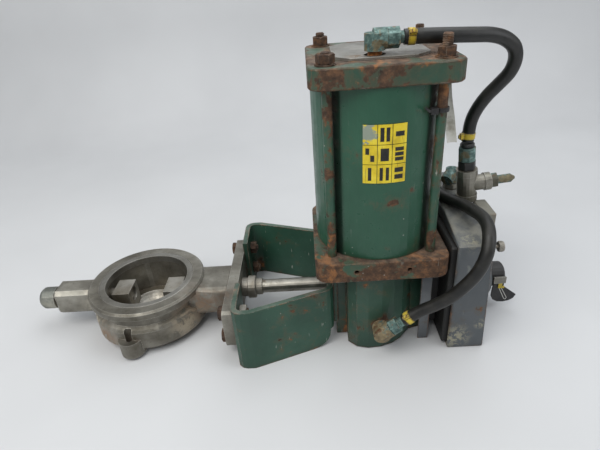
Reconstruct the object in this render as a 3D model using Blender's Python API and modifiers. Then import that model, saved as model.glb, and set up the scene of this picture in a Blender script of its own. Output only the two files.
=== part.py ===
"""Double-acting cylinder actuator on a segment ball valve, with a positioner and its air lines.

Metres, +Z up.  The design frame has the cylinder axis at x = y = 0 and the floor at z = 0; X runs along the
valve stem towards the positioner and Y runs to the back.  Everything hangs from one empty that moves the
origin to the floor below the stem, midway along the object.
"""

import math

import bmesh
import bpy
from mathutils import Euler, Vector

# ---- driving dimensions -------------------------------------------------------------------------------
GAP = 0.0003                     # between touching solids
STEM_Y = 0.021                   # stem axis, parallel to X
STEM_Z = 0.054
STEM_R = 0.011
LEVER_R = 0.044                  # stem axis to crosshead pin
QUARTER_TURN = math.radians(90)

FLOOR_CLEAR = 0.002
BASE_BOTTOM = 0.135              # lower square flange
BASE_TOP = 0.165
BASE_HALF = 0.090
BARREL_TOP = 0.3905
BARREL_R = 0.084
BARREL_WALL = 0.006
SPIGOT_R = BARREL_R - BARREL_WALL - GAP
END_TOP = 0.4145
END_HALF = 0.087
FLANGE_CORNER = 0.018
ROD_PITCH_HALF = 0.066
TIE_ROD_R = 0.006
NUT_FLATS = 0.019
NUT_HEIGHT = 0.012
HEXAGON_R = NUT_FLATS / math.sqrt(3)
STUD_TOPS = {(-1, -1): 0.4285, (1, -1): 0.4395, (-1, 1): 0.4315, (1, 1): 0.4335}
END_PLATE_HALF = 0.056
END_PLATE_THICK = 0.003
PORT_X = -0.008
PORT_Y = -0.038
PORT_R = 0.007

PISTON_ROD_R = 0.0085
PISTON_BOTTOM = 0.182
PISTON_THICK = 0.040
STOP_BOTTOM = 0.290
CROSSHEAD_HALF_Z = 0.0135
CROSSHEAD_HALF_X = 0.0097
PIN_R = 0.006
SLOT_HALF_Z = 0.0077

HOUSING_LEFT = -0.062
HOUSING_RIGHT = 0.0715
HOUSING_FRONT = -0.042
HOUSING_BACK = 0.076
HOUSING_WALL = 0.006
PAD_HALF = 0.068                 # raised pad the bracket is screwed to
LOBE_X = -0.010
LOBE_TIP = -0.078

VALVE_X = -0.3665                # centre of the flow bore
VALVE_TOP = 0.083
RING_R = 0.0925
BODY_R = 0.090
WAIST_R = 0.0815
WAIST_TOP = 0.065
WAIST_BOTTOM = 0.052
FOOT_R = 0.076
RING_EDGE = 0.003
NECK_HALF_Y = 0.036
NECK_HALF_Z = 0.024
BOSS_HALF_Y = 0.020
BOSS_HALF_Z = 0.022
FACE_RING_R = 0.0746
BORE_R = 0.065
BALL_R = 0.050
BALL_WALL = 0.008
EAR_HALF_Y = 0.020               # the ball's two trunnion ears
EAR_NEAR = 0.028
EAR_FAR = 0.056
SEAT_TOP = 0.020
SEAT_R = 0.0372
VALVE_FLANGE_LEFT = -0.229
VALVE_FLANGE_RIGHT = -0.2125
VALVE_FLANGE_HALF_Y = 0.105
VALVE_FLANGE_HALF_Z = 0.0315
FLANGE_BOLT_Y = 0.088
FLANGE_BOLT_Z = 0.021
FLANGE_BOLT_R = 0.006
BOSS_LEFT = -0.5215
LUG_X = VALVE_X - 0.013           # ear low on the front of the valve
LUG_Y = STEM_Y - 0.083
LUG_R = 0.019
LUG_BORE_R = 0.006
CAP_LEFT = -0.5475

BRACKET_THICK = 0.008
BRACKET_HEIGHT = 0.104
BRACKET_LEG_END = 0.055          # from the stem plane
BRACKET_WIDE = 0.123
BRACKET_NARROW = 0.080
BRACKET_RIGHT = -0.066
BRACKET_BEND_R = 0.011
BRACKET_SCREW_Y = 0.040
SCREW_LEVELS = (0.046, 0.112)

COVER_LEFT = 0.0985
COVER_RIGHT_LOW = 0.151
COVER_RIGHT_TOP = 0.144
COVER_FRONT = -0.085
COVER_BACK = 0.127
COVER_TOP = 0.193
COVER_FRONT_TOP = 0.178          # where the sloping front of the top ends
COVER_SLOPE_Y = -0.008
COVER_WALL = 0.003
FLAG_TIP_X = 0.230

HOSE_R = 0.0085
RISER_X = 0.1385
RISER_Y = 0.020
RISER_LEAN = math.radians(-5.2)

ORIGIN_X = (CAP_LEFT + FLAG_TIP_X) / 2

# routes of the two air hoses, chosen by hand, from fitting to fitting
UPPER_HOSE = [
    (0.0245, -0.038, 0.434), (0.050, -0.038, 0.4335), (0.078, -0.036, 0.432), (0.105, -0.031, 0.430),
    (0.128, -0.025, 0.4275), (0.147, -0.018, 0.421), (0.161, -0.012, 0.410), (0.167, -0.006, 0.395),
    (0.165, -0.001, 0.379), (0.156, 0.006, 0.363), (0.146, 0.012, 0.348), (0.137, 0.017, 0.330),
    (0.1318, 0.020, 0.311), (0.1302, 0.020, 0.2845),
]
LOWER_HOSE = [
    (0.0304, -0.0943, 0.0675), (0.050, -0.0957, 0.0832), (0.070, -0.102, 0.099), (0.087, -0.108, 0.116),
    (0.102, -0.112, 0.136), (0.115, -0.114, 0.158), (0.124, -0.111, 0.181), (0.129, -0.100, 0.199),
    (0.132, -0.082, 0.208), (0.132, -0.060, 0.209), (0.128, -0.036, 0.206), (0.120, -0.014, 0.2045),
    (0.110, 0.003, 0.2035), (0.1015, 0.020, 0.203), (0.0975, 0.040, 0.203), (0.097, 0.060, 0.203),
    (0.0985, 0.084, 0.203),
]

# ---- finishes: colour, roughness, metallic -------------------------------------------------------------
GREEN = ((0.045, 0.14, 0.09), 0.5, 0.0)
GREEN_DARK = ((0.02, 0.06, 0.045), 0.55, 0.0)
RUSTY_GREEN = ((0.16, 0.09, 0.05), 0.8, 0.1)
RUST = ((0.17, 0.08, 0.04), 0.85, 0.3)
CAST_STEEL = ((0.30, 0.29, 0.26), 0.5, 0.8)
BRIGHT_STEEL = ((0.55, 0.54, 0.50), 0.3, 1.0)
TEAL_BRASS = ((0.16, 0.24, 0.21), 0.7, 0.5)
BRASS = ((0.35, 0.27, 0.15), 0.55, 0.8)
DARK_STEEL = ((0.05, 0.05, 0.05), 0.5, 0.6)
BLACK = ((0.012, 0.012, 0.013), 0.5, 0.0)
RUBBER = ((0.018, 0.018, 0.017), 0.6, 0.0)
YELLOW = ((0.55, 0.42, 0.03), 0.45, 0.2)
GREY_PAINT = ((0.13, 0.15, 0.17), 0.5, 0.2)
BEIGE_PAINT = ((0.30, 0.29, 0.24), 0.6, 0.1)
PAPER = ((0.55, 0.54, 0.48), 0.8, 0.0)

X_AXIS = Vector((1, 0, 0))
Y_AXIS = Vector((0, 1, 0))
Z_AXIS = Vector((0, 0, 1))


# ---- scene helpers --------------------------------------------------------------------------------------
def empty_scene():
    for item in list(bpy.data.objects):
        bpy.data.objects.remove(item, do_unlink=True)


def collection(name):
    made = bpy.data.collections.new(name)
    bpy.context.scene.collection.children.link(made)
    return made


def axis_empty(name, place, parent=None):
    item = bpy.data.objects.new(name, None)
    item.location = place
    item.parent = parent
    PARTS.objects.link(item)
    return item


def material(name, look):
    colour, roughness, metallic = look
    made = bpy.data.materials.new(name)
    made.use_nodes = True
    shader = made.node_tree.nodes["Principled BSDF"]
    shader.inputs["Base Color"].default_value = (*colour, 1)
    shader.inputs["Roughness"].default_value = roughness
    shader.inputs["Metallic"].default_value = metallic
    return made


def place(item, at, along, parent):
    """Puts an object's local Z along a direction, at a point of the design frame, under its parent."""
    parent = parent or ROOT
    item.parent = parent
    offset = Vector((0, 0, 0)) if parent == ROOT else Vector(parent.location)
    item.location = Vector(at) - offset
    if Vector(along) != Z_AXIS:
        item.rotation_euler = Vector(along).to_track_quat("Z", "Y").to_euler()
    return item


def node(name, mesh, look, at=(0, 0, 0), along=Z_AXIS, parent=None):
    """A finished piece; a look of None makes a cutter or an addition for a Boolean."""
    item = bpy.data.objects.new(name, mesh)
    if look is None:
        TOOLS.objects.link(item)
        item.hide_render = True
        item.display_type = "WIRE"
    else:
        PARTS.objects.link(item)
        mesh.materials.clear()
        mesh.materials.append(material(name, look))
    mesh.shade_smooth()
    mesh.set_sharp_from_angle(angle=math.radians(35))
    return place(item, at, along, parent)


def to_mesh(name, bm):
    mesh = bpy.data.meshes.new(name)
    bmesh.ops.recalc_face_normals(bm, faces=bm.faces)
    bm.to_mesh(mesh)
    bm.free()
    return mesh


def add_bar(bm, radius, length, start, along=Z_AXIS, sides=16, tip=None):
    """A round (or hexagonal) bar, or a cone when tip gives its far radius."""
    along = Vector(along).normalized()
    turn = along.to_track_quat("Z", "Y").to_matrix().to_4x4()
    turn.translation = Vector(start) + along * length / 2
    far = radius if tip is None else tip
    bmesh.ops.create_cone(
        bm, cap_ends=True, segments=sides, radius1=radius, radius2=far, depth=length, matrix=turn
    )


def add_box(bm, low, high):
    size = [high[i] - low[i] for i in range(3)]
    corners = bmesh.ops.create_cube(bm, size=1)["verts"]
    bmesh.ops.scale(bm, vec=size, verts=corners)
    bmesh.ops.translate(bm, vec=[(high[i] + low[i]) / 2 for i in range(3)], verts=corners)


def bars(name, look, rows, parent=None):
    """Separate bars in one node: each row is radius, length, start, direction, sides."""
    bm = bmesh.new()
    for radius, length, start, along, sides in rows:
        add_bar(bm, radius, length, start, along, sides)
    return framed(name, bm, look, parent)


def joined(name, look, rows, parent=None):
    """One solid from overlapping bars: the first row is the bar that the others are joined to."""
    item = bars(name, look, rows[:1], parent)
    return fuse(item, bars(name + "_more", None, rows[1:], parent))


def boxes(name, look, rows, parent=None):
    bm = bmesh.new()
    for low, high in rows:
        add_box(bm, low, high)
    return framed(name, bm, look, parent)


def framed(name, bm, look, parent=None):
    """A piece whose mesh was written in the design frame, moved so that its origin is its parent's."""
    if parent is not None:
        bmesh.ops.translate(bm, vec=-Vector(parent.location), verts=bm.verts)
        return node(name, to_mesh(name, bm), look, parent.location, Z_AXIS, parent)
    return node(name, to_mesh(name, bm), look)


def turned(name, profile, look, at=(0, 0, 0), along=Z_AXIS, steps=24, parent=None, closed=False):
    """A lathe shape: the profile is (radius, height) pairs and runs down its outer side."""
    mesh = bpy.data.meshes.new(name)
    count = len(profile)
    edges = [(i, i + 1) for i in range(count - 1)]
    if closed:
        edges.append((count - 1, 0))
    mesh.from_pydata([(radius, 0, height) for radius, height in profile], edges, [])
    item = node(name, mesh, look, at, along, parent)
    screw = item.modifiers.new("turn", "SCREW")
    screw.steps = steps
    screw.render_steps = steps
    screw.use_merge_vertices = True
    screw.merge_threshold = 0.00001
    return item


def ring(name, inner, outer, height, look, at, along=Z_AXIS, steps=24, parent=None):
    profile = [(outer, height), (outer, 0), (inner, 0), (inner, height)]
    return turned(name, profile, look, at, along, steps, parent, closed=True)


def prism(name, outline, depth, look, at=(0, 0, 0), along=Z_AXIS, parent=None):
    """A flat outline given a depth along its local Z."""
    curve = bpy.data.curves.new(name, "CURVE")
    curve.dimensions = "2D"
    curve.fill_mode = "BOTH"
    curve.extrude = depth / 2
    spline = curve.splines.new("POLY")
    spline.points.add(len(outline) - 1)
    for point, (u, v) in zip(spline.points, outline):
        point.co = (u, v, 0, 1)
    spline.use_cyclic_u = True
    flat = bpy.data.objects.new(name + "_outline", curve)
    PARTS.objects.link(flat)
    mesh = bpy.data.meshes.new_from_object(flat.evaluated_get(bpy.context.evaluated_depsgraph_get()))
    bpy.data.objects.remove(flat)
    bm = bmesh.new()
    bm.from_mesh(mesh)
    bmesh.ops.remove_doubles(bm, verts=bm.verts, dist=0.00001)
    bmesh.ops.translate(bm, vec=(0, 0, depth / 2), verts=bm.verts)
    bpy.data.meshes.remove(mesh)
    return node(name, to_mesh(name, bm), look, at, along, parent)


def side_prism(name, outline, depth, look, y_front, parent=None):
    """A prism whose outline is (x, z) pairs and whose depth runs back along Y."""
    item = prism(name, [(x, -z) for x, z in outline], depth, look, (0, y_front, 0), Z_AXIS, parent)
    item.rotation_euler = Euler((-QUARTER_TURN, 0, 0))
    return item


def strip(name, path, low, high, thick, look):
    """Sheet metal bent along a plan path and standing on edge."""
    bm = bmesh.new()
    rows = [[bm.verts.new((x, y, z)) for x, y in path] for z in (low, high)]
    for i in range(len(path) - 1):
        bm.faces.new((rows[0][i], rows[0][i + 1], rows[1][i + 1], rows[1][i]))
    mesh = bpy.data.meshes.new(name)
    bm.to_mesh(mesh)
    bm.free()
    item = node(name, mesh, look)
    sheet = item.modifiers.new("sheet", "SOLIDIFY")
    sheet.thickness = thick
    sheet.offset = 0
    sheet.use_even_offset = True
    return item


def boolean(item, tool, operation):
    change = item.modifiers.new(operation.lower(), "BOOLEAN")
    change.operation = operation
    change.solver = "EXACT"
    change.object = tool
    return item


def cut(item, tool):
    return boolean(item, tool, "DIFFERENCE")


def fuse(item, tool):
    return boolean(item, tool, "UNION")


def bevel(item, width, segments=1):
    rounding = item.modifiers.new("bevel", "BEVEL")
    rounding.width = width
    rounding.segments = segments
    rounding.limit_method = "ANGLE"
    rounding.angle_limit = math.radians(50)
    return item


def arc(centre, radius, start, end, steps):
    """Points of an arc between two angles in degrees, end point included."""
    angles = [math.radians(start + (end - start) * i / steps) for i in range(steps + 1)]
    return [(centre[0] + radius * math.cos(a), centre[1] + radius * math.sin(a)) for a in angles]


def link_outline(hub_r, eye_r, length, heading):
    """A lever seen along its axis: hub at the origin, eye at a distance, on a heading in degrees."""
    spread = math.degrees(math.acos((hub_r - eye_r) / length))
    eye = (length * math.cos(math.radians(heading)), length * math.sin(math.radians(heading)))
    return arc((0, 0), hub_r, heading + spread, heading + 360 - spread, 14) + arc(
        eye, eye_r, heading - spread, heading + spread, 8
    )


def rounded_square(half, corner, steps=4):
    inner = half - corner
    outline = []
    for quarter, (sx, sy) in enumerate(((1, 1), (-1, 1), (-1, -1), (1, -1))):
        outline += arc((sx * inner, sy * inner), corner, quarter * 90, quarter * 90 + 90, steps)
    return outline


def rounded_path(points, radius, steps=3):
    """A polyline with its inner corners replaced by arcs."""
    path = [points[0]]
    for before, corner, after in zip(points, points[1:], points[2:]):
        corner = Vector(corner)
        to_before = (Vector(before) - corner).normalized()
        to_after = (Vector(after) - corner).normalized()
        half = to_before.angle(to_after) / 2
        reach = radius / math.tan(half)
        centre = corner + (to_before + to_after).normalized() * radius / math.sin(half)
        first = corner + to_before * reach - centre
        last = corner + to_after * reach - centre
        for i in range(steps + 1):
            path.append(tuple(centre + first.slerp(last, i / steps).normalized() * radius))
    path.append(points[-1])
    return path


def smooth_route(points, spacing):
    """Points at an even spacing along a Catmull-Rom curve through the given ones."""
    known = [Vector(p) for p in points]
    known = [known[0] * 2 - known[1]] + known + [known[-1] * 2 - known[-2]]
    fine = []
    for a, b, c, d in zip(known, known[1:], known[2:], known[3:]):
        for i in range(24):
            t = i / 24
            square = 2 * a - 5 * b + 4 * c - d
            cube = 3 * b - a - 3 * c + d
            fine.append(0.5 * (2 * b + (c - a) * t + square * t**2 + cube * t**3))
    fine.append(known[-2])
    travelled = [0.0]
    for a, b in zip(fine, fine[1:]):
        travelled.append(travelled[-1] + (b - a).length)
    count = max(2, round(travelled[-1] / spacing))
    route, here = [], 0
    for k in range(count + 1):
        target = travelled[-1] * k / count
        while here < len(fine) - 2 and travelled[here + 1] < target:
            here += 1
        share = (target - travelled[here]) / (travelled[here + 1] - travelled[here])
        route.append(fine[here].lerp(fine[here + 1], min(1.0, share)))
    return route


def hose(name, points):
    curve = bpy.data.curves.new(name, "CURVE")
    curve.dimensions = "3D"
    curve.bevel_depth = HOSE_R
    curve.bevel_resolution = 3
    curve.use_fill_caps = True
    route = smooth_route(points, 0.012)
    spline = curve.splines.new("POLY")
    spline.points.add(len(route) - 1)
    for point, spot in zip(spline.points, route):
        point.co = (*spot, 1)
    curve.materials.append(material(name, RUBBER))
    item = bpy.data.objects.new(name, curve)
    PARTS.objects.link(item)
    item.parent = ROOT
    return item


# ---- valve -----------------------------------------------------------------------------------------------
def valve_body():
    centre = (VALVE_X, STEM_Y, 0)
    outer = [
        (0, VALVE_TOP), (RING_R - RING_EDGE, VALVE_TOP), (RING_R, VALVE_TOP - RING_EDGE),
        (RING_R, VALVE_TOP - 4 * RING_EDGE), (0.088, VALVE_TOP - 0.015), (WAIST_R, WAIST_TOP),
        (WAIST_R, WAIST_BOTTOM), (0.087, 0.048), (BODY_R, 0.044), (BODY_R, 0.016), (0.086, 0.010),
        (FOOT_R + 0.002, 0.005), (FOOT_R, 0), (0, 0),
    ]
    body = turned("valve_body", outer, CAST_STEEL, centre, steps=48)
    neck = boxes("neck_solid", None, [
        ((VALVE_X + BALL_R, STEM_Y - NECK_HALF_Y, STEM_Z - NECK_HALF_Z),
         (VALVE_FLANGE_LEFT + 0.004, STEM_Y + NECK_HALF_Y, STEM_Z + NECK_HALF_Z)),
    ])
    bevel(neck, 0.008, 2)
    flange = prism(
        "flange_solid", slab_outline(), VALVE_FLANGE_RIGHT - VALVE_FLANGE_LEFT, None,
        (VALVE_FLANGE_LEFT, STEM_Y, STEM_Z), X_AXIS,
    )
    boss = boxes("boss_solid", None, [
        ((BOSS_LEFT, STEM_Y - BOSS_HALF_Y, STEM_Z - BOSS_HALF_Z),
         (VALVE_X - 0.06, STEM_Y + BOSS_HALF_Y, STEM_Z + BOSS_HALF_Z)),
    ])
    bevel(boss, 0.006, 1)
    lug = bars("lug_solid", None, [(LUG_R, 0.027, (LUG_X, LUG_Y, 0.0055), Z_AXIS, 24)])
    for addition in (neck, flange, boss, lug):
        fuse(body, addition)
    shaft = STEM_R + GAP
    hollows = turned("valve_hollows", [
        (0, VALVE_TOP + 0.01), (FACE_RING_R + GAP, VALVE_TOP + 0.01), (FACE_RING_R + GAP, 0.0715),
        (0.066, 0.0715), (0.066, 0.0075), (0.046, 0.0075), (0.046, -0.01), (0, -0.01),
    ], None, centre, steps=48)
    cut(body, hollows)
    shaft_bore = bars("shaft_bore", None, [
        (shaft, VALVE_FLANGE_RIGHT - BOSS_LEFT + 0.02, (BOSS_LEFT - 0.01, STEM_Y, STEM_Z), X_AXIS, 24),
        (LUG_BORE_R, 0.06, (LUG_X, LUG_Y - 0.004, -0.01), Z_AXIS, 16),
    ] + [
        (FLANGE_BOLT_R + GAP, 0.04, (VALVE_FLANGE_LEFT - 0.01, y, z), X_AXIS, 16)
        for y, z in flange_bolt_places()
    ])
    cut(body, shaft_bore)


def slab_outline():
    """The valve flange seen along the stem: across, then up."""
    corner = 0.008
    across, up = VALVE_FLANGE_HALF_Y - corner, VALVE_FLANGE_HALF_Z - corner
    outline = []
    for quarter, (side, rise) in enumerate(((1, 1), (-1, 1), (-1, -1), (1, -1))):
        outline += arc((side * across, rise * up), corner, quarter * 90, quarter * 90 + 90, 2)
    return outline


def flange_bolt_places():
    return [
        (STEM_Y + side * FLANGE_BOLT_Y, STEM_Z + rise * FLANGE_BOLT_Z)
        for side in (-1, 1)
        for rise in (-1, 1)
    ]


def valve_trim():
    ring("face_ring", BORE_R, FACE_RING_R, 0.0113, CAST_STEEL, (VALVE_X, STEM_Y, 0.0718), steps=48)
    ring("seat_ring", SEAT_R, 0.0655, SEAT_TOP - 0.0078, BRIGHT_STEEL, (VALVE_X, STEM_Y, 0.0078), steps=40)
    turned("trunnion_cap", [
        (0, 0.0260), (0.014, 0.0260), (0.018, 0.021), (0.018, GAP), (0, GAP),
    ], CAST_STEEL, (BOSS_LEFT, STEM_Y, STEM_Z), -X_AXIS, 20)
    bore = STEM_R + GAP
    turned("packing_follower", [
        (0.0135, 0.0335), (0.0135, 0.0225), (0.0185, 0.0225), (0.0185, 0.0105), (0.0155, 0.0105),
        (0.0155, 0), (bore, 0), (bore, 0.0335),
    ], BRIGHT_STEEL, (VALVE_FLANGE_RIGHT + GAP, STEM_Y, STEM_Z), X_AXIS, 24, closed=True)


def valve_bolting():
    """Four bolts through the valve flange and the yoke legs, each with its nut."""
    start = VALVE_FLANGE_LEFT - GAP
    nut_face = VALVE_FLANGE_RIGHT + BRACKET_THICK + 3 * GAP
    head, nut = 0.007, 0.010
    for number, (y, z) in enumerate(flange_bolt_places(), 1):
        joined(f"flange_bolt_{number}", RUST, [
            (FLANGE_BOLT_R, nut_face + nut + 0.006 - start, (start - head / 2, y, z), X_AXIS, 12),
            (HEXAGON_R, head, (start - head, y, z), X_AXIS, 6),
            (HEXAGON_R, nut, (nut_face, y, z), X_AXIS, 6),
        ])


def segment_ball():
    """Bowl of a segment ball, with an ear at each end of its shaft line."""
    half = math.radians(58)
    outer = [(BALL_R * math.sin(half * i / 8), -BALL_R * math.cos(half * i / 8)) for i in range(9)]
    inside = BALL_R - BALL_WALL
    inner = [(inside * math.sin(half * i / 8), -inside * math.cos(half * i / 8)) for i in range(9)]
    ball = turned("ball_segment", inner + outer[::-1], BRIGHT_STEEL, STEM_LINE, Z_AXIS, 32, STEM_AXIS)
    ball.location = (VALVE_X, 0, 0)
    front, back = STEM_Y - EAR_HALF_Y, STEM_Y + EAR_HALF_Y
    bottom, top = STEM_Z - 0.026, STEM_Z + 0.014
    ears = boxes("ball_ears", None, [
        ((VALVE_X - EAR_FAR, front, bottom), (VALVE_X - EAR_NEAR, back, top)),
        ((VALVE_X + EAR_NEAR, front, bottom), (VALVE_X + EAR_FAR, back, top)),
    ], STEM_AXIS)
    fuse(ball, ears)
    cut(ball, bars("ear_bores", None, [(STEM_R + GAP, 0.12, (VALVE_X - 0.06, STEM_Y, STEM_Z), X_AXIS, 24)],
                   STEM_AXIS))


def stem_line():
    """What turns with the valve stem, from the blind boss to the positioner."""
    bars("trunnion_pin", BRIGHT_STEEL, [
        (STEM_R, 0.118, (VALVE_X - 0.150, STEM_Y, STEM_Z), X_AXIS, 24),
    ], STEM_AXIS)
    bars("valve_stem", BRIGHT_STEEL, [
        (STEM_R, 0.0265 - (VALVE_X + 0.032), (VALVE_X + 0.032, STEM_Y, STEM_Z), X_AXIS, 24),
    ], STEM_AXIS)
    bars("positioner_shaft", DARK_STEEL, [
        (0.006, 0.1600, (0.0268, STEM_Y, STEM_Z), X_AXIS, 16),
    ], STEM_AXIS)
    reach = LEVER_R * math.sqrt(0.5)
    pin_y, pin_z = STEM_Y - reach, STEM_Z - reach
    lever = bars("lever", GREEN_DARK, [(PIN_R, 0.040, (-0.020, pin_y, pin_z), X_AXIS, 20)], STEM_AXIS)
    for x in (-0.0184, 0.0104):
        fuse(lever, prism("lever_cheek", link_outline(0.0175, 0.0105, LEVER_R, 225), 0.008, None,
                          (x, STEM_Y, STEM_Z), X_AXIS, STEM_AXIS))
    lever_bore = [(STEM_R + GAP, 0.05, (-0.025, STEM_Y, STEM_Z), X_AXIS, 24)]
    cut(lever, bars("lever_bore", None, lever_bore, STEM_AXIS))
    turned("indicator_knob", [
        (0, 0.0245), (0.017, 0.0245), (0.020, 0.0215), (0.020, 0.001), (0, 0.001),
    ], BLACK, STEM_LINE, X_AXIS, 24, STEM_AXIS).location = (0.1861, 0, 0)
    boxes("indicator_band", BRIGHT_STEEL, [
        ((0.190, STEM_Y - 0.0255, 0.0525), (0.209, STEM_Y - 0.0227, 0.0640)),
    ], STEM_AXIS)
    blade = [
        (0.194, 0.0620), (0.207, 0.0620), (0.208, 0.0440), (FLAG_TIP_X, 0.0265), (0.2265, 0.0190),
        (0.220, 0.0150), (0.211, 0.0130), (0.201, 0.0140), (0.1935, 0.0185), (0.190, 0.0260),
        (0.190, 0.0400),
    ]
    flag = side_prism("indicator_flag", blade, 0.0019, BLACK, STEM_Y - 0.0224)
    flag.parent = STEM_AXIS
    flag.location = (0, -0.0224, -STEM_Z)


# ---- yoke ------------------------------------------------------------------------------------------------
def bracket(name, side):
    left = VALVE_FLANGE_RIGHT + GAP + BRACKET_THICK / 2
    wide, narrow = STEM_Y + side * BRACKET_WIDE, STEM_Y + side * BRACKET_NARROW
    path = rounded_path([
        (left, STEM_Y + side * BRACKET_LEG_END), (left, wide), (left + 0.022, wide),
        (BRACKET_RIGHT - BRACKET_THICK / 2 - GAP, narrow),
        (BRACKET_RIGHT - BRACKET_THICK / 2 - GAP, STEM_Y + side * 0.028),
    ], BRACKET_BEND_R)
    plate = strip(name, path, 0, BRACKET_HEIGHT, BRACKET_THICK, GREEN)
    cut_away = [(-0.072, 0.030), (-0.03, 0.030), (-0.03, -0.002)]
    corner = [(-0.115, -0.002)] + arc((-0.098, 0.026), 0.026, -90, 0, 5)[1:] + cut_away
    cut(plate, side_prism(name + "_corner", corner, 0.30, None, STEM_Y - 0.15))
    holes = [(FLANGE_BOLT_R + GAP, 0.03, (VALVE_FLANGE_RIGHT - 0.01, y, z), X_AXIS, 12)
             for y, z in flange_bolt_places() if (y - STEM_Y) * side > 0]
    holes += [(0.0043, 0.03, (BRACKET_RIGHT - 0.02, STEM_Y + side * BRACKET_SCREW_Y, z), X_AXIS, 12)
              for z in SCREW_LEVELS]
    cut(plate, bars(name + "_holes", None, holes))
    return plate


# ---- linkage housing -------------------------------------------------------------------------------------
def housing_outline(inset):
    """Plan of the housing: a box with a lobed front."""
    return [
        (HOUSING_LEFT + inset, HOUSING_BACK - inset), (HOUSING_LEFT + inset, HOUSING_FRONT + inset),
        (-0.046 + inset, HOUSING_FRONT + inset), (-0.046 + inset, -0.062 + inset * 0.4),
        (-0.034, -0.0735 + inset), (-0.018, LOBE_TIP + inset), (0.002, LOBE_TIP + 0.0015 + inset),
        (0.020, -0.070 + inset), (0.034 - inset * 0.4, -0.060 + inset),
        (0.050 - inset, HOUSING_FRONT + 0.0015 + inset),
        (HOUSING_RIGHT - inset, -0.034 + inset), (HOUSING_RIGHT - inset, HOUSING_BACK - inset),
    ]


def linkage_housing():
    height = BASE_BOTTOM - GAP - FLOOR_CLEAR
    shell = prism("linkage_housing", housing_outline(0)[::-1], height, GREEN_DARK, (0, 0, FLOOR_CLEAR))
    flange = boxes("bracket_pad", None, [
        ((BRACKET_RIGHT, STEM_Y - PAD_HALF, 0.030),
         (HOUSING_LEFT + 0.002, STEM_Y + PAD_HALF, BASE_BOTTOM - 0.006)),
    ])
    fuse(shell, flange)
    inner = prism("housing_hollow", housing_outline(HOUSING_WALL)[::-1], height, None,
                  (0, 0, FLOOR_CLEAR + 0.0055))
    cut(shell, inner)
    window = boxes("housing_window", None, [
        ((-0.040, HOUSING_BACK - 0.02, 0.020), (0.050, HOUSING_BACK + 0.02, 0.112)),
    ])
    cut(shell, window)
    taps = [(0.0042, 0.03, (BRACKET_RIGHT - 0.005, STEM_Y + side * BRACKET_SCREW_Y, z), X_AXIS, 12)
            for side in (-1, 1) for z in SCREW_LEVELS]
    cut(shell, bars("housing_bores", None, [
        (STEM_R + GAP, 0.04, (HOUSING_LEFT - 0.02, STEM_Y, STEM_Z), X_AXIS, 24),
        (0.012, 0.04, (HOUSING_RIGHT - 0.02, STEM_Y, STEM_Z), X_AXIS, 20),
        (0.0065, 0.03, (0, LOBE_TIP - 0.01, 0.044), Y_AXIS, 16),
    ] + taps))


def housing_cover():
    plate = boxes("housing_cover", GREEN_DARK, [
        ((-0.052, HOUSING_BACK + GAP, 0.010), (0.062, HOUSING_BACK + 0.006, 0.124)),
    ])
    bevel(plate, 0.001)


# ---- cylinder --------------------------------------------------------------------------------------------
def rod_places():
    return [(x * ROD_PITCH_HALF, y * ROD_PITCH_HALF) for x in (-1, 1) for y in (-1, 1)]


def cylinder_base():
    depth = BASE_TOP - BASE_BOTTOM
    square = rounded_square(BASE_HALF, FLANGE_CORNER)
    base = prism("cylinder_base", square, depth, RUSTY_GREEN, (0, 0, BASE_BOTTOM))
    bevel(base, 0.0025)
    spigot = bars("base_spigot", None, [(SPIGOT_R, 0.010, (0, 0, BASE_TOP - 0.002), Z_AXIS, 40)])
    fuse(base, spigot)
    holes = [(TIE_ROD_R + GAP, 0.03, (x, y, BASE_BOTTOM + 0.008), Z_AXIS, 16) for x, y in rod_places()]
    holes.append((0.0145, 0.06, (0, 0, BASE_BOTTOM - 0.01), Z_AXIS, 24))
    holes += [(0.0035, 0.016, (x, side * (BASE_HALF - 0.012), 0.151), Y_AXIS * side, 12)
              for x in (-0.035, 0.035) for side in (-1, 1)]
    cut(base, bars("base_holes", None, holes))
    ring("rod_bearing", PISTON_ROD_R + GAP, 0.0142, 0.034, BRASS, (0, 0, BASE_BOTTOM + 0.002))


def barrel():
    inner = BARREL_R - BARREL_WALL
    height = BARREL_TOP - BASE_TOP - 2 * GAP
    ring("barrel", inner, BARREL_R, height, GREEN, (0, 0, BASE_TOP + GAP), steps=48)


def cylinder_end():
    depth = END_TOP - BARREL_TOP
    square = rounded_square(END_HALF, FLANGE_CORNER)
    end = prism("cylinder_end", square, depth, RUSTY_GREEN, (0, 0, BARREL_TOP))
    bevel(end, 0.0025)
    spigot = turned("end_spigot", [
        (0, BARREL_TOP + 0.002), (SPIGOT_R, BARREL_TOP + 0.002), (SPIGOT_R, BARREL_TOP - 0.008),
        (0.020, BARREL_TOP - 0.008), (0.020, STOP_BOTTOM), (0, STOP_BOTTOM),
    ], None, steps=40)
    fuse(end, spigot)
    holes = [(TIE_ROD_R + GAP, 0.04, (x, y, BARREL_TOP - 0.008), Z_AXIS, 16) for x, y in rod_places()]
    holes.append((PORT_R + GAP, 0.06, (PORT_X, PORT_Y, BARREL_TOP - 0.02), Z_AXIS, 16))
    cut(end, bars("end_holes", None, holes))
    half, corner = END_PLATE_HALF, 0.018
    octagon = [(half, half - corner), (half - corner, half), (corner - half, half), (-half, half - corner),
               (-half, corner - half), (corner - half, -half), (half - corner, -half), (half, corner - half)]
    plate = prism("end_plate", octagon, END_PLATE_THICK, BRIGHT_STEEL, (0, 0, END_TOP + GAP))
    cut(plate, bars("plate_hole", None, [(0.0125, 0.02, (PORT_X, PORT_Y, END_TOP - 0.005), Z_AXIS, 20)]))


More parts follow.
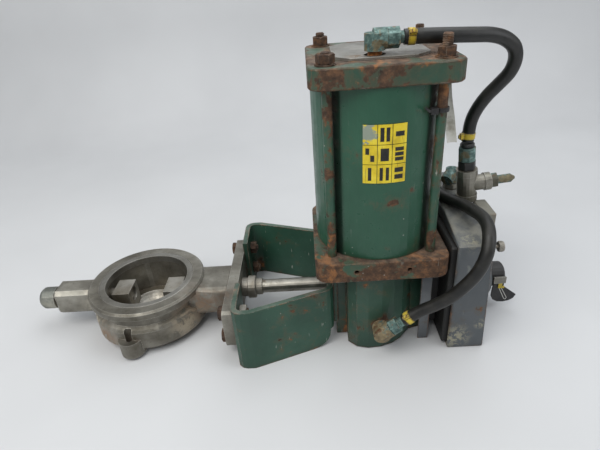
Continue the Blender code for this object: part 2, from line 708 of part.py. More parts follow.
def tie_rods():
    """Four rods screwed into the base, each with its nut on the top flange."""
    bottom = BASE_BOTTOM + 0.010
    for number, ((sx, sy), top) in enumerate(STUD_TOPS.items(), 1):
        x, y = sx * ROD_PITCH_HALF, sy * ROD_PITCH_HALF
        joined(f"tie_rod_{number}", GREEN, [
            (TIE_ROD_R, top - bottom, (x, y, bottom), Z_AXIS, 16),
            (HEXAGON_R, NUT_HEIGHT, (x, y, END_TOP + GAP), Z_AXIS, 6),
        ])


def piston_set():
    inner = BARREL_R - BARREL_WALL - 0.0006
    groove = inner - 0.004
    bottom, top = 0, PISTON_THICK
    piston = turned("piston", [
        (0, top), (inner, top), (inner, 0.026), (groove, 0.026), (groove, 0.014), (inner, 0.014),
        (inner, bottom), (0, bottom),
    ], DARK_STEEL, (0, 0, PISTON_BOTTOM), Z_AXIS, 40, PISTON_AXIS)
    cut(piston, bars("piston_bore", None, [
        (PISTON_ROD_R + GAP, 0.06, (0, 0, PISTON_BOTTOM - 0.01), Z_AXIS, 20)], PISTON_AXIS))
    seal_foot = (0, 0, PISTON_BOTTOM + 0.0143)
    ring("piston_seal", groove + GAP, inner + 0.0002, 0.0114, BLACK, seal_foot, Z_AXIS, 40, PISTON_AXIS)
    block_z = STEM_Z - LEVER_R * math.sqrt(0.5)
    top_z = block_z + CROSSHEAD_HALF_Z
    bars("piston_rod", BRIGHT_STEEL, [
        (PISTON_ROD_R, PISTON_BOTTOM + PISTON_THICK + 0.004 - top_z - GAP, (0, 0, top_z + GAP), Z_AXIS, 20),
    ], PISTON_AXIS)
    block = boxes("crosshead", DARK_STEEL, [
        ((-CROSSHEAD_HALF_X, -0.0350, block_z - CROSSHEAD_HALF_Z),
         (CROSSHEAD_HALF_X, 0.0085, block_z + CROSSHEAD_HALF_Z)),
    ], PISTON_AXIS)
    cut(block, boxes("crosshead_slot", None, [
        ((-0.02, -0.0298, block_z - SLOT_HALF_Z), (0.02, -0.0035, block_z + SLOT_HALF_Z)),
    ], PISTON_AXIS))


# ---- positioner ------------------------------------------------------------------------------------------
def cover_outline(left, inset, top):
    return [
        (left, inset), (COVER_RIGHT_LOW - inset, inset), (COVER_RIGHT_TOP - inset, top), (left, top),
    ]


def positioner():
    width = COVER_BACK - COVER_FRONT
    outer = cover_outline(COVER_LEFT, 0, COVER_TOP)
    cover = side_prism("positioner_cover", outer, width, GREY_PAINT, COVER_FRONT)
    slope = [
        (COVER_FRONT - 0.01, COVER_FRONT_TOP - 0.002), (COVER_SLOPE_Y, COVER_TOP), (COVER_SLOPE_Y, 0.25),
        (COVER_FRONT - 0.01, 0.25),
    ]
    cut(cover, prism("cover_slope", slope, 0.12, None, (COVER_LEFT - 0.03, 0, 0), X_AXIS))
    bevel(cover, 0.003, 2)
    hollow = cover_outline(COVER_LEFT - 0.01, COVER_WALL, COVER_FRONT_TOP - COVER_WALL)
    cut(cover, side_prism("cover_hollow", hollow, width - 2 * COVER_WALL, None, COVER_FRONT + COVER_WALL))
    cut(cover, bars("cover_bore", None, [(0.0075, 0.05, (0.13, STEM_Y, STEM_Z), X_AXIS, 16)]))
    base = boxes("positioner_base", BLACK, [((0.0912, -0.078, 0.006), (0.117, 0.120, 0.173))])
    bevel(base, 0.002)
    cut(base, bars("base_bore", None, [(0.009, 0.06, (0.08, STEM_Y, STEM_Z), X_AXIS, 16)]))
    yoke = boxes("positioner_yoke", BLACK, [((0.0751, -0.040, 0.016), (0.0909, 0.082, 0.130))])
    cut(yoke, boxes("yoke_window", None, [((0.07, -0.022, 0.030), (0.10, 0.064, 0.114))]))
    web = HOUSING_RIGHT + GAP + 0.0015
    strip("mount_channel", [(0.0600, -0.060), (web, -0.060), (web, 0.100), (0.0600, 0.100)], 0.0005,
          BASE_BOTTOM - 0.001, 0.003, GREY_PAINT)
    cut(bpy.data.objects["mount_channel"], bars("channel_bore", None, [
        (0.020, 0.03, (0.065, STEM_Y, STEM_Z), X_AXIS, 20)]))
    turned("shaft_boss", [
        (0.030, 0.034), (0.036, 0.028), (0.038, 0), (0.0075, 0), (0.0075, 0.034),
    ], GREY_PAINT, (COVER_RIGHT_LOW + GAP, STEM_Y, STEM_Z), X_AXIS, 32, closed=True)
    block = boxes("side_block", BEIGE_PAINT, [((0.1462, -0.031, 0.154), (0.165, 0.015, 0.195))])
    bevel(block, 0.0015)
    joined("thumb_screw", BRIGHT_STEEL, [
        (0.0025, 0.014, (0.1463, -0.069, 0.166), X_AXIS, 12),
        (0.0068, 0.0070, (0.156, -0.069, 0.166), X_AXIS, 16),
    ])


# ---- air fittings ----------------------------------------------------------------------------------------
def elbow(name, look, start, inlet, outlet, rise, run, body_r, thread_r, thread):
    """A threaded elbow: thread and rise along the inlet direction, then a run along the outlet direction."""
    inlet, outlet = Vector(inlet).normalized(), Vector(outlet).normalized()
    corner = Vector(start) + inlet * rise
    length = rise + body_r * 0.55 - thread
    body = bars(name, look, [(body_r, length, Vector(start) + inlet * thread, inlet, 16)])
    side = [(body_r * 0.97, run + 0.002, corner - outlet * 0.002, outlet, 16)]
    fuse(body, bars(name + "_run", None, side))
    fuse(body, bars(name + "_thread", None, [(thread_r, thread + 0.004, start, inlet, 14)]))
    return corner + outlet * run


def hose_tail(name, look, at, along, nut_r, nut, shank, parent=None):
    """A hexagonal nut and the plain collar that goes up to the hose end."""
    along = Vector(along).normalized()
    at = Vector(at) + along * GAP
    hexagon = bars(name, look, [(nut_r, nut, at, along, 6)], parent)
    collar = [(0.0068, shank + 0.002, at + along * (nut - 0.002), along, 16)]
    fuse(hexagon, bars(name + "_shank", None, collar, parent))
    return at + along * (nut + shank)


def riser():
    """The pipe tee on top of the positioner and what stands on it, along a slightly leaning line."""
    up = Vector((math.sin(RISER_LEAN), 0, math.cos(RISER_LEAN)))
    across = Vector((math.cos(RISER_LEAN), 0, -math.sin(RISER_LEAN)))
    foot = Vector((RISER_X, RISER_Y, COVER_TOP))

    def level(height):
        return foot + up * height

    tee = bars("pipe_tee", CAST_STEEL, [(0.0135, 0.0475, level(0.002), up, 20)])
    collars = [(0.0150, 0.009, level(height), up, 20) for height in (0.0410, 0.002)]
    fuse(tee, bars("tee_collars", None, collars))
    centre = level(0.026)
    fuse(tee, bars("tee_branch", None, [(0.0115, 0.028, centre, across, 20)]))
    fuse(tee, bars("branch_collar", None, [(0.0130, 0.009, centre + across * 0.024, across, 20)]))
    bars("riser_nut", DARK_STEEL, [(0.0125, 0.0125, level(0.0503), up, 6)])
    bars("riser_adapter", TEAL_BRASS, [(0.0120, 0.0200, level(0.0631), up, 8)])
    tail = bars("riser_tail", BLACK, [(0.0098, 0.0060, level(0.0834), up, 16)])
    bevel(tail, 0.0015)
    bars("branch_bush", DARK_STEEL, [(0.0115, 0.0090, centre + across * 0.0333, across, 6)])
    nipple = bars("test_nipple", TEAL_BRASS, [(0.0062, 0.0200, centre + across * 0.0426, across, 14)])
    tip = bmesh.new()
    add_bar(tip, 0.0060, 0.006, centre + across * 0.0621, across, 14, 0.0022)
    fuse(nipple, framed("nipple_tip", tip, None))


def air_fittings():
    port = (PORT_X, PORT_Y, 0.402)
    end = elbow("top_elbow", TEAL_BRASS, port, Z_AXIS, X_AXIS, 0.032, 0.0130, 0.0122, PORT_R, 0.020)
    hose_tail("top_tail", TEAL_BRASS, end, X_AXIS, 0.0118, 0.0140, 0.0049)
    out = Vector((0.79, -0.03, 0.61)).normalized()
    hose_end = Vector(LOWER_HOSE[0])
    corner = hose_end - out * 0.0385
    port = Vector((0, LOBE_TIP + 0.003, 0.044))
    rise = corner - port
    end = elbow("lower_elbow", BRASS, port, rise, out, rise.length, 0.0165, 0.0125, 0.006, 0.0035)
    hose_tail("lower_tail", TEAL_BRASS, end, out, 0.0120, 0.0120, (hose_end - end).length - 0.0140)
    port_out = Vector((-0.60, -0.66, -0.42))
    port = (0.129, 0.066, COVER_TOP + 0.0085)
    elbow("port_elbow", TEAL_BRASS, port, Z_AXIS, port_out, 0.0175, 0.0200, 0.0098, 0.006, 0.002)
    bars("port_nut", BEIGE_PAINT, [(0.0125, 0.0080, (0.129, 0.066, COVER_TOP + GAP), Z_AXIS, 6)])
    back = Vector(LOWER_HOSE[-1])
    end = elbow("rear_elbow", BRASS, (back.x, back.y + 0.0285, COVER_TOP + GAP), Z_AXIS, -Y_AXIS,
                back.z - COVER_TOP - GAP, 0.0098, 0.0090, 0.006, 0.0015)
    hose_tail("rear_tail", BRASS, end, -Y_AXIS, 0.0092, 0.0110, end.y - back.y - 0.0140)


# ---- trim ------------------------------------------------------------------------------------------------
def trim():
    around = math.radians(36)
    radius = BARREL_R + 0.0006
    path = [(radius * math.sin(a), -radius * math.cos(a))
            for a in (math.radians(-19) + around * i / 12 for i in range(13))]
    strip("label_tiles", path, 0.2765, 0.3497, 0.0005, YELLOW)
    rod = (ROD_PITCH_HALF, -ROD_PITCH_HALF)
    ring("cable_tie", TIE_ROD_R + GAP, TIE_ROD_R + 0.0022, 0.0048, BLACK, (rod[0], rod[1], 0.3552), steps=20)
    fuse(bpy.data.objects["cable_tie"], boxes("tie_head", None, [
        ((rod[0] - 0.0145, rod[1] - 0.0095, 0.3540), (rod[0] - 0.0064, rod[1] - 0.0015, 0.3610)),
    ]))
    side_prism("paper_tag", [
        (0.0745, 0.384), (0.0775, 0.384), (0.0795, 0.352), (0.0915, 0.314), (0.0840, 0.311), (0.0755, 0.350),
    ], 0.0007, PAPER, -0.052)


empty_scene()
PARTS = collection("rotary_pneumatic_actuator")
TOOLS = collection("cutters")
STEM_LINE = Vector((0, STEM_Y, STEM_Z))
ROOT = axis_empty("root", (-ORIGIN_X, -STEM_Y, 0))
STEM_AXIS = axis_empty("stem_axis", STEM_LINE, ROOT)
PISTON_AXIS = axis_empty("piston_axis", (0, 0, PISTON_BOTTOM), ROOT)

valve_body()
valve_trim()
valve_bolting()
segment_ball()
stem_line()
bracket("bracket_front", -1)
bracket("bracket_rear", 1)
linkage_housing()
housing_cover()
cylinder_base()
barrel()
cylinder_end()
tie_rods()
piston_set()
positioner()
hose("hose_upper", UPPER_HOSE)
hose("hose_lower", LOWER_HOSE)
riser()
air_fittings()
trim()
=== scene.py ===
import math

import bmesh
import bpy
from mathutils import Matrix, Vector


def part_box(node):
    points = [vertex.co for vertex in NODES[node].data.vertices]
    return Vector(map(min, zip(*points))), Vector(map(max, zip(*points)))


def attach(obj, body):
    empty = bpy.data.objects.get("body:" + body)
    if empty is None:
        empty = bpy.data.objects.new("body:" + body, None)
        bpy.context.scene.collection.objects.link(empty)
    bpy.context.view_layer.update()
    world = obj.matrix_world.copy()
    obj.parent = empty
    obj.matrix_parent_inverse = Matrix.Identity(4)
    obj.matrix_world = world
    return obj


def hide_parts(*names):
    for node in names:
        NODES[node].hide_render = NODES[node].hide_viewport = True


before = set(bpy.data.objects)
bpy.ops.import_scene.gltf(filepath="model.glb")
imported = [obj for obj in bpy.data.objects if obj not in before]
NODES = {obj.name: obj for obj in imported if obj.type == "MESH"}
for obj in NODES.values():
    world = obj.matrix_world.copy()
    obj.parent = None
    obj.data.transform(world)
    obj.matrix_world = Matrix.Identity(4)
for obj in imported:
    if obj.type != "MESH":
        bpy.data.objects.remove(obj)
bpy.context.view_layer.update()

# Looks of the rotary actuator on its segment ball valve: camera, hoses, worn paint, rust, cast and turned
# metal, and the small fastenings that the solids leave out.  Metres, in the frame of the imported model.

X_AXIS = Vector((1, 0, 0))
Y_AXIS = Vector((0, 1, 0))
Z_AXIS = Vector((0, 0, 1))

SHIFT = Vector((0.15875, -0.021, 0))      # from the design frame, cylinder axis at x = y = 0
CYLINDER_X, CYLINDER_Y = SHIFT.x, SHIFT.y


def at(x, y, z):
    """A place of the design frame, as part.py writes it."""
    return Vector((x, y, z)) + SHIFT


def middle(name):
    low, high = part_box(name)
    return (low + high) / 2


# ---- camera ---------------------------------------------------------------------------------------------
CAMERA_PLACE = Vector((0.07039, -0.61051, 0.51374))
CAMERA_YAW = -0.0353
CAMERA_PITCH = 0.5178
CAMERA_ROLL = 0.0761
CAMERA_LENS = 27.57


def make_camera():
    ahead = Vector((
        math.sin(CAMERA_YAW) * math.cos(CAMERA_PITCH), math.cos(CAMERA_YAW) * math.cos(CAMERA_PITCH),
        -math.sin(CAMERA_PITCH),
    ))
    level = Vector((math.cos(CAMERA_YAW), -math.sin(CAMERA_YAW), 0))
    down = ahead.cross(level)
    right = math.cos(CAMERA_ROLL) * level + math.sin(CAMERA_ROLL) * down
    down = math.cos(CAMERA_ROLL) * down - math.sin(CAMERA_ROLL) * level
    data = bpy.data.cameras.new("camera")
    data.lens = CAMERA_LENS
    data.clip_start = 0.01
    data.clip_end = 30
    camera = bpy.data.objects.new("camera", data)
    turn = Matrix((right, -down, -ahead)).transposed().to_4x4()
    camera.matrix_world = Matrix.Translation(CAMERA_PLACE) @ turn
    bpy.context.scene.collection.objects.link(camera)
    bpy.context.scene.camera = camera


make_camera()


# ---- material building ----------------------------------------------------------------------------------
class Look:
    """One material, whose layers are built from noise in the object's own space, in metres."""

    def __init__(self, name, roughness=0.5, metallic=0.0, colour=(0.5, 0.5, 0.5), specular=0.5):
        self.name = name
        self.material = bpy.data.materials.new(name)
        self.material.use_nodes = True
        self.tree = self.material.node_tree
        self.shader = self.tree.nodes["Principled BSDF"]
        self.set("Roughness", roughness)
        self.set("Metallic", metallic)
        self.set("Base Color", colour)
        self.set("Specular IOR Level", specular)
        self.place = self.node("ShaderNodeTexCoord").outputs["Object"]

    def node(self, kind, **settings):
        made = self.tree.nodes.new(kind)
        for key, value in settings.items():
            setattr(made, key, value)
        return made

    def put(self, socket, value):
        """Links a socket, or sets a number or a colour."""
        if isinstance(value, bpy.types.NodeSocket):
            self.tree.links.new(value, socket)
        elif isinstance(value, (tuple, list)) and len(value) == 3 and socket.type == "RGBA":
            socket.default_value = (*value, 1)
        else:
            socket.default_value = value

    def set(self, name, value):
        self.put(self.shader.inputs[name], value)
        return self

    def math(self, operation, a, b=0.0):
        made = self.node("ShaderNodeMath", operation=operation)
        self.put(made.inputs[0], a)
        self.put(made.inputs[1], b)
        return made.outputs[0]

    def add(self, a, b):
        return self.math("ADD", a, b)

    def times(self, a, b):
        return self.math("MULTIPLY", a, b)

    def larger(self, a, b):
        return self.math("MAXIMUM", a, b)

    def inverse(self, a):
        return self.math("SUBTRACT", 1.0, a)

    def stretched(self, scale, turn=(0, 0, 0)):
        made = self.node("ShaderNodeMapping")
        self.put(made.inputs["Vector"], self.place)
        made.inputs["Scale"].default_value = scale
        made.inputs["Rotation"].default_value = turn
        return made.outputs[0]

    def noise(self, scale, detail=4.0, rough=0.55, warp=0.0, place=None):
        made = self.node("ShaderNodeTexNoise")
        self.put(made.inputs["Vector"], place or self.place)
        self.put(made.inputs["Scale"], scale)
        self.put(made.inputs["Detail"], detail)
        self.put(made.inputs["Roughness"], rough)
        self.put(made.inputs["Distortion"], warp)
        return made.outputs["Fac"]

    def cells(self, scale):
        made = self.node("ShaderNodeTexVoronoi", feature="F1")
        self.put(made.inputs["Vector"], self.place)
        self.put(made.inputs["Scale"], scale)
        return made.outputs["Distance"]

    def step(self, value, low, high, start=0.0, end=1.0):
        made = self.node("ShaderNodeMapRange", interpolation_type="SMOOTHSTEP")
        self.put(made.inputs["Value"], value)
        self.put(made.inputs["From Min"], low)
        self.put(made.inputs["From Max"], high)
        self.put(made.inputs["To Min"], start)
        self.put(made.inputs["To Max"], end)
        return made.outputs["Result"]

    def ramp(self, value, *stops):
        made = self.node("ShaderNodeValToRGB")
        line = made.color_ramp.elements
        while len(line) < len(stops):
            line.new(0.5)
        for element, (where, colour) in zip(line, stops):
            element.position = where
            element.color = (*colour, 1)
        self.put(made.inputs["Fac"], value)
        return made.outputs["Color"]

    def mix(self, share, a, b):
        made = self.node("ShaderNodeMix", data_type="RGBA")
        self.put(made.inputs[0], share)
        self.put(made.inputs[6], a)
        self.put(made.inputs[7], b)
        return made.outputs[2]

    def edges(self, radius=0.002):
        """1 along sharp edges, falling to 0 at a distance from them."""
        rounded = self.node("ShaderNodeBevel", samples=4)
        self.put(rounded.inputs["Radius"], radius)
        geometry = self.node("ShaderNodeNewGeometry")
        dot = self.node("ShaderNodeVectorMath", operation="DOT_PRODUCT")
        self.put(dot.inputs[0], rounded.outputs["Normal"])
        self.put(dot.inputs[1], geometry.outputs["Normal"])
        return self.step(dot.outputs["Value"], 0.995, 0.86)

    def hollows(self, reach=0.012):
        """1 in corners and under neighbours, 0 in the open."""
        made = self.node("ShaderNodeAmbientOcclusion", samples=4)
        self.put(made.inputs["Distance"], reach)
        return self.step(made.outputs["AO"], 0.85, 0.35)

    def upward(self, low=0.55, high=0.95):
        """1 on faces that look up, 0 on walls and undersides."""
        split = self.node("ShaderNodeSeparateXYZ")
        self.put(split.inputs[0], self.node("ShaderNodeNewGeometry").outputs["True Normal"])
        return self.step(split.outputs["Z"], low, high)

    def near(self, place, radius, blur=0.5):
        """1 around a place of the object, 0 beyond a radius."""
        made = self.node("ShaderNodeVectorMath", operation="DISTANCE")
        self.put(made.inputs[0], self.place)
        made.inputs[1].default_value = place
        return self.step(made.outputs["Value"], radius, radius * (1 - blur))

    def sector(self, start, end):
        """1 between two angles about the cylinder's axis, in degrees from the front."""
        blur = 2.5
        split = self.node("ShaderNodeSeparateXYZ")
        self.put(split.inputs[0], self.place)
        across = self.math("SUBTRACT", split.outputs["X"], CYLINDER_X)
        ahead = self.math("SUBTRACT", CYLINDER_Y, split.outputs["Y"])
        angle = self.math("DEGREES", self.math("ARCTAN2", across, ahead))
        inside = self.step(angle, start - blur, start + blur)
        return self.times(inside, self.step(angle, end + blur, end - blur))

    def bump(self, height, depth, strength=1.0):
        made = self.node("ShaderNodeBump")
        self.put(made.inputs["Height"], height)
        self.put(made.inputs["Distance"], depth)
        self.put(made.inputs["Strength"], strength)
        self.set("Normal", made.outputs["Normal"])
        return self


GROOVE_PITCH = 0.0008
RUST_DARK = (0.028, 0.017, 0.011)
RUST_MID = (0.072, 0.038, 0.021)
RUST_LIGHT = (0.150, 0.074, 0.036)
RUST_ORANGE = (0.30, 0.125, 0.040)


def rust_colour(look, scale=90):
    """Brown rust in four tones, with orange bloom in patches."""
    grain = look.noise(scale, 8, 0.7)
    colour = look.ramp(grain, (0.32, RUST_DARK), (0.48, RUST_MID), (0.62, RUST_LIGHT), (0.74, RUST_ORANGE))
    bloom = look.step(look.noise(26, 6, 0.65, 0.5), 0.54, 0.66)
    return look.mix(look.times(bloom, 0.75), colour, RUST_ORANGE)


def painted(name, base, deep, pale, rust=0.0, wear=0.25, gloss=0.38, dust=0.25, scratches=0.5, spots=(),
            chips=(), shadows=()):
    """Old paint: tones, rust that eats in from edges and corners, scratches to bright metal, dust on top.

    Spots are rusty places, chips are places with bits of paint gone, shadows are dark sectors of the barrel.
    """
    look = Look(name, specular=0.5)
    tone = look.noise(7, 5, 0.6, 0.4)
    colour = look.ramp(tone, (0.32, deep), (0.50, base), (0.70, pale))
    fine = look.noise(160, 3)
    colour = look.mix(look.step(fine, 0.55, 0.80, 0.0, 0.25), colour, deep)
    # Painted shade: near-black darkening in hollows and under neighbouring parts, broken by noise into
    # patches that also stand for dirt.
    dirt_and_painted_shade = look.times(look.hollows(0.02), look.step(look.noise(30, 6), 0.30, 0.65))
    colour = look.mix(look.times(dirt_and_painted_shade, 0.65), colour, (0.03, 0.028, 0.02))
    patches = look.noise(23, 10, 0.68, 0.3)
    eaten = look.add(patches, look.times(look.edges(0.0035), 0.17))
    eaten = look.add(eaten, look.times(look.hollows(0.010), 0.10))
    for place, radius, strength in spots:
        eaten = look.add(eaten, look.times(look.near(place, radius, 0.9), strength))
    edge = 0.66 - 0.32 * rust
    corroded = look.step(eaten, edge - 0.015, edge + 0.02)
    colour = look.mix(corroded, colour, rust_colour(look))
    halo = look.times(look.step(eaten, edge - 0.09, edge), 0.35)
    colour = look.mix(look.times(halo, look.inverse(corroded)), colour, (0.10, 0.07, 0.035))
    thin = look.step(look.noise(60, 6, 0.7), 0.62 - 0.25 * wear, 0.70 - 0.2 * wear)
    worn = look.times(look.edges(0.0016), thin)
    colour = look.mix(look.times(worn, 0.75), colour, (0.33, 0.31, 0.27))
    lines = look.noise(1, 2, 0.4, 0.2, look.stretched((520, 30, 60), (0.3, 0.5, 0.7)))
    more = look.noise(1, 2, 0.4, 0.2, look.stretched((40, 480, 36), (0.9, 0.1, 0.4)))
    field = look.step(look.noise(14, 3), 0.48, 0.62)
    marks = look.times(look.larger(look.step(lines, 0.72, 0.76), look.step(more, 0.72, 0.76)), field)
    colour = look.mix(look.times(marks, scratches), colour, (0.36, 0.38, 0.33))
    specks = look.step(look.cells(85), 0.10, 0.04)
    specks = look.times(specks, look.step(look.noise(19, 4), 0.52, 0.60))
    colour = look.mix(look.times(specks, 0.7), colour, (0.42, 0.42, 0.38))
    for place, radius in chips:
        bare = look.times(look.near(place, radius, 0.9), look.step(look.noise(130, 7, 0.7, 0.4), 0.46, 0.54))
        colour = look.mix(look.times(bare, 0.8), colour, (0.33, 0.31, 0.22))
    for start, end in shadows:
        colour = look.mix(look.times(look.sector(start, end), 0.80), colour, (0.006, 0.010, 0.008))
    settled = look.times(look.upward(), look.step(look.noise(45, 6, 0.6), 0.35, 0.75, 0.15, 1.0))
    colour = look.mix(look.times(settled, dust), colour, (0.30, 0.29, 0.25))
    look.set("Base Color", colour)
    rough = look.step(look.larger(corroded, look.times(settled, dust)), 0.0, 1.0, gloss, 0.86)
    look.set("Roughness", look.add(rough, look.step(look.noise(70, 5), 0.3, 0.7, -0.06, 0.08)))
    relief = look.add(look.times(corroded, look.noise(260, 6, 0.7)), look.times(look.noise(24, 3), 0.12))
    return look.bump(look.add(relief, look.times(corroded, -0.4)), 0.0009, 0.8)


def rusted(name, dark=0.0, bright=0.0):
    """Bare steel rusted all over, with what is left of a plating on its edges."""
    look = Look(name, metallic=0.15)
    colour = rust_colour(look, 140)
    colour = look.mix(look.step(look.noise(45, 5), 0.40, 0.62, dark, 0.0), colour, (0.025, 0.02, 0.018))
    shiny = look.times(look.edges(0.0012), look.step(look.noise(90, 4), 0.45, 0.60, 0.0, bright))
    colour = look.mix(shiny, colour, (0.38, 0.34, 0.28))
    look.set("Base Color", colour)
    look.set("Roughness", look.step(look.noise(120, 4), 0.3, 0.7, 0.70, 0.92))
    return look.bump(look.noise(320, 8, 0.7), 0.0007, 0.9)


def cast_metal(name, base, deep, pale, rough=0.42, stains=(), grain=1.0):
    """Cast stainless steel: grey, grainy, brown in its corners, with cream and brown deposits in places."""
    look = Look(name, metallic=0.85)
    tone = look.noise(16, 8, 0.62, 0.2)
    colour = look.ramp(tone, (0.33, deep), (0.52, base), (0.68, pale))
    freckles = look.step(look.noise(210, 4, 0.6), 0.60, 0.72)
    colour = look.mix(look.times(freckles, 0.35), colour, (0.09, 0.07, 0.05))
    corner = look.times(look.hollows(0.012), look.step(look.noise(50, 6), 0.30, 0.60))
    colour = look.mix(look.times(corner, 0.75), colour, (0.10, 0.065, 0.04))
    bare = look.edges(0.0018)
    colour = look.mix(look.times(bare, 0.5), colour, (0.62, 0.60, 0.55))
    dull = corner
    for place, radius, hue in stains:
        crust = look.step(look.noise(75, 8, 0.72, 0.5), 0.40, 0.56)
        patch = look.times(look.near(place, radius, 0.95), crust)
        colour = look.mix(look.times(patch, 0.85), colour, hue)
        dull = look.larger(dull, patch)
    look.set("Base Color", colour)
    look.set("Metallic", look.step(dull, 0.0, 1.0, 0.85, 0.1))
    base_rough = look.step(look.noise(55, 6), 0.3, 0.7, rough - 0.08, rough + 0.14)
    look.set("Roughness", look.larger(base_rough, look.times(dull, 0.8)))
    fine_grain = look.times(look.noise(230, 5, 0.6), 0.5 * grain)
    relief = look.add(fine_grain, look.times(look.noise(60, 4), 0.8 * grain))
    return look.bump(relief, 0.0008, 0.6)


def turned_metal(name, base, axis, rough, dirt):
    """Steel with the fine rings that a lathe leaves round an axis."""
    look = Look(name, metallic=0.95)
    grooves = look.node("ShaderNodeTexWave", wave_type="BANDS", bands_direction=axis)
    look.put(grooves.inputs["Vector"], look.place)
    look.put(grooves.inputs["Scale"], 1 / (GROOVE_PITCH * 20))
    look.put(grooves.inputs["Distortion"], 0.8)
    look.put(grooves.inputs["Detail"], 2.0)
    tone = look.noise(35, 6, 0.6)
    pale = tuple(min(1.0, c * 1.25) for c in base)
    deep = tuple(c * 0.62 for c in base)
    colour = look.ramp(tone, (0.30, deep), (0.50, base), (0.70, pale))
    smears = look.times(look.step(look.noise(28, 7, 0.7, 0.6), 0.50, 0.66), dirt)
    corner = look.times(look.hollows(0.008), 0.6)
    soiled = look.larger(smears, corner)
    colour = look.mix(soiled, colour, (0.11, 0.075, 0.045))
    look.set("Base Color", colour)
    look.set("Roughness", look.step(look.add(look.noise(90, 5), soiled), 0.3, 1.2, rough, rough + 0.42))
    return look.bump(look.add(look.times(grooves.outputs["Fac"], 0.35), look.noise(150, 3)), 0.00018, 0.5)


def tarnished(name, teal=0.6, brown=0.4, base=(0.20, 0.17, 0.10)):
    """Brass gone blue-green, with brown and bright spots."""
    look = Look(name, metallic=0.35)
    tone = look.noise(120, 8, 0.7)
    deep = tuple(c * 0.4 for c in base)
    pale = tuple(min(1, c * 1.7) for c in base)
    metal = look.ramp(tone, (0.30, deep), (0.52, base), (0.70, pale))
    green = look.ramp(look.noise(170, 6, 0.65), (0.30, (0.035, 0.065, 0.06)), (0.50, (0.10, 0.17, 0.155)),
                      (0.68, (0.27, 0.40, 0.37)))
    spread = look.add(look.noise(60, 7, 0.65, 0.4), look.times(look.hollows(0.006), 0.12))
    colour = look.mix(look.step(spread, 0.62 - 0.28 * teal, 0.70 - 0.28 * teal), metal, green)
    rusty = look.step(look.noise(85, 6, 0.7), 0.68 - 0.2 * brown, 0.76 - 0.2 * brown)
    colour = look.mix(rusty, colour, (0.14, 0.07, 0.035))
    shine = look.times(look.edges(0.0010), look.step(look.noise(140, 3), 0.45, 0.6))
    colour = look.mix(look.times(shine, 0.6), colour, (0.45, 0.42, 0.33))
    look.set("Base Color", colour)
    look.set("Roughness", look.step(tone, 0.3, 0.7, 0.5, 0.8))
    return look.bump(look.noise(280, 6, 0.7), 0.0005, 0.8)


def dark_stuff(name, base, dusty, dust, rough, scale):
    """Black plastic, rubber or painted metal with dust on it."""
    look = Look(name)
    cover = look.times(look.step(look.noise(scale, 7, 0.65, 0.3), 0.38, 0.72), dust)
    cover = look.add(cover, look.times(look.upward(0.2, 1.0), dust * 0.45))
    colour = look.mix(cover, base, dusty)
    rub = look.times(look.edges(0.0012), look.step(look.noise(110, 4), 0.45, 0.6))
    colour = look.mix(look.times(rub, 0.35), colour, (0.16, 0.155, 0.145))
    look.set("Base Color", colour)
    look.set("Roughness", look.step(cover, 0.0, 0.8, rough, 0.88))
    return look.bump(look.noise(240, 5, 0.6), 0.0004, 0.5)


# ---- mesh building --------------------------------------------------------------------------------------
SMALLEST_R = 0.00005              # stands for a point at the end of a turned profile
THREAD_PITCH = 0.00175
THREAD_DEPTH = 0.0009
THREAD_CHAMFER = 0.0012
POINT_DROP = 0.0010


def frame_at(place, along, twist=0.0):
    """A matrix whose Z points along a direction."""
    turn = Vector(along).normalized().to_track_quat("Z", "Y").to_matrix().to_4x4()
    return Matrix.Translation(place) @ turn @ Matrix.Rotation(math.radians(twist), 4, "Z")


def loft(bm, rings, closed=False):
    """Quads between rings of points, with the two end rings capped or joined to each other."""
    rows = [[bm.verts.new(p) for p in ring] for ring in rings]
    count = len(rows[0])
    pairs = list(zip(rows, rows[1:])) + ([(rows[-1], rows[0])] if closed else [])
    for low, high in pairs:
        for i in range(count):
            j = (i + 1) % count
            bm.faces.new((low[i], low[j], high[j], high[i]))
    if not closed:
        bm.faces.new(rows[0][::-1])
        bm.faces.new(rows[-1])


def circle(radius, height, steps):
    angles = [math.tau * i / steps for i in range(steps)]
    return [Vector((radius * math.cos(a), radius * math.sin(a), height)) for a in angles]


def moved_circle(frame_matrix, radius, height, steps):
    return [frame_matrix @ p for p in circle(radius, height, steps)]


def lathe(bm, frame_matrix, profile, steps=32, closed=False):
    """A turned solid from (radius, height) pairs; closed joins the last pair to the first."""
    rings = [moved_circle(frame_matrix, max(r, SMALLEST_R), height, steps) for r, height in profile]
    loft(bm, rings, closed)


def hexagon(bm, frame_matrix, corner, height, bore=0.0004):
    """A nut or bolt head with the chamfered corners that a turned bar has."""
    steps = 48
    flat = corner * math.cos(math.radians(30))
    face = flat * 0.95

    def ring(level, top):
        points = []
        for i in range(steps):
            angle = math.tau * i / steps
            radius = flat / math.cos((angle + math.pi / 6) % (math.pi / 3) - math.pi / 6)
            drop = max(0.0, radius - flat * 0.97) * 0.62
            z = level - drop if top else level + drop
            points.append(frame_matrix @ Vector((radius * math.cos(angle), radius * math.sin(angle), z)))
        return points

    rings = [moved_circle(frame_matrix, radius, 0, steps) for radius in (bore, face)]
    rings += [ring(0, False), ring(height, True)]
    rings += [moved_circle(frame_matrix, radius, height, steps) for radius in (face, bore)]
    loft(bm, rings, closed=True)


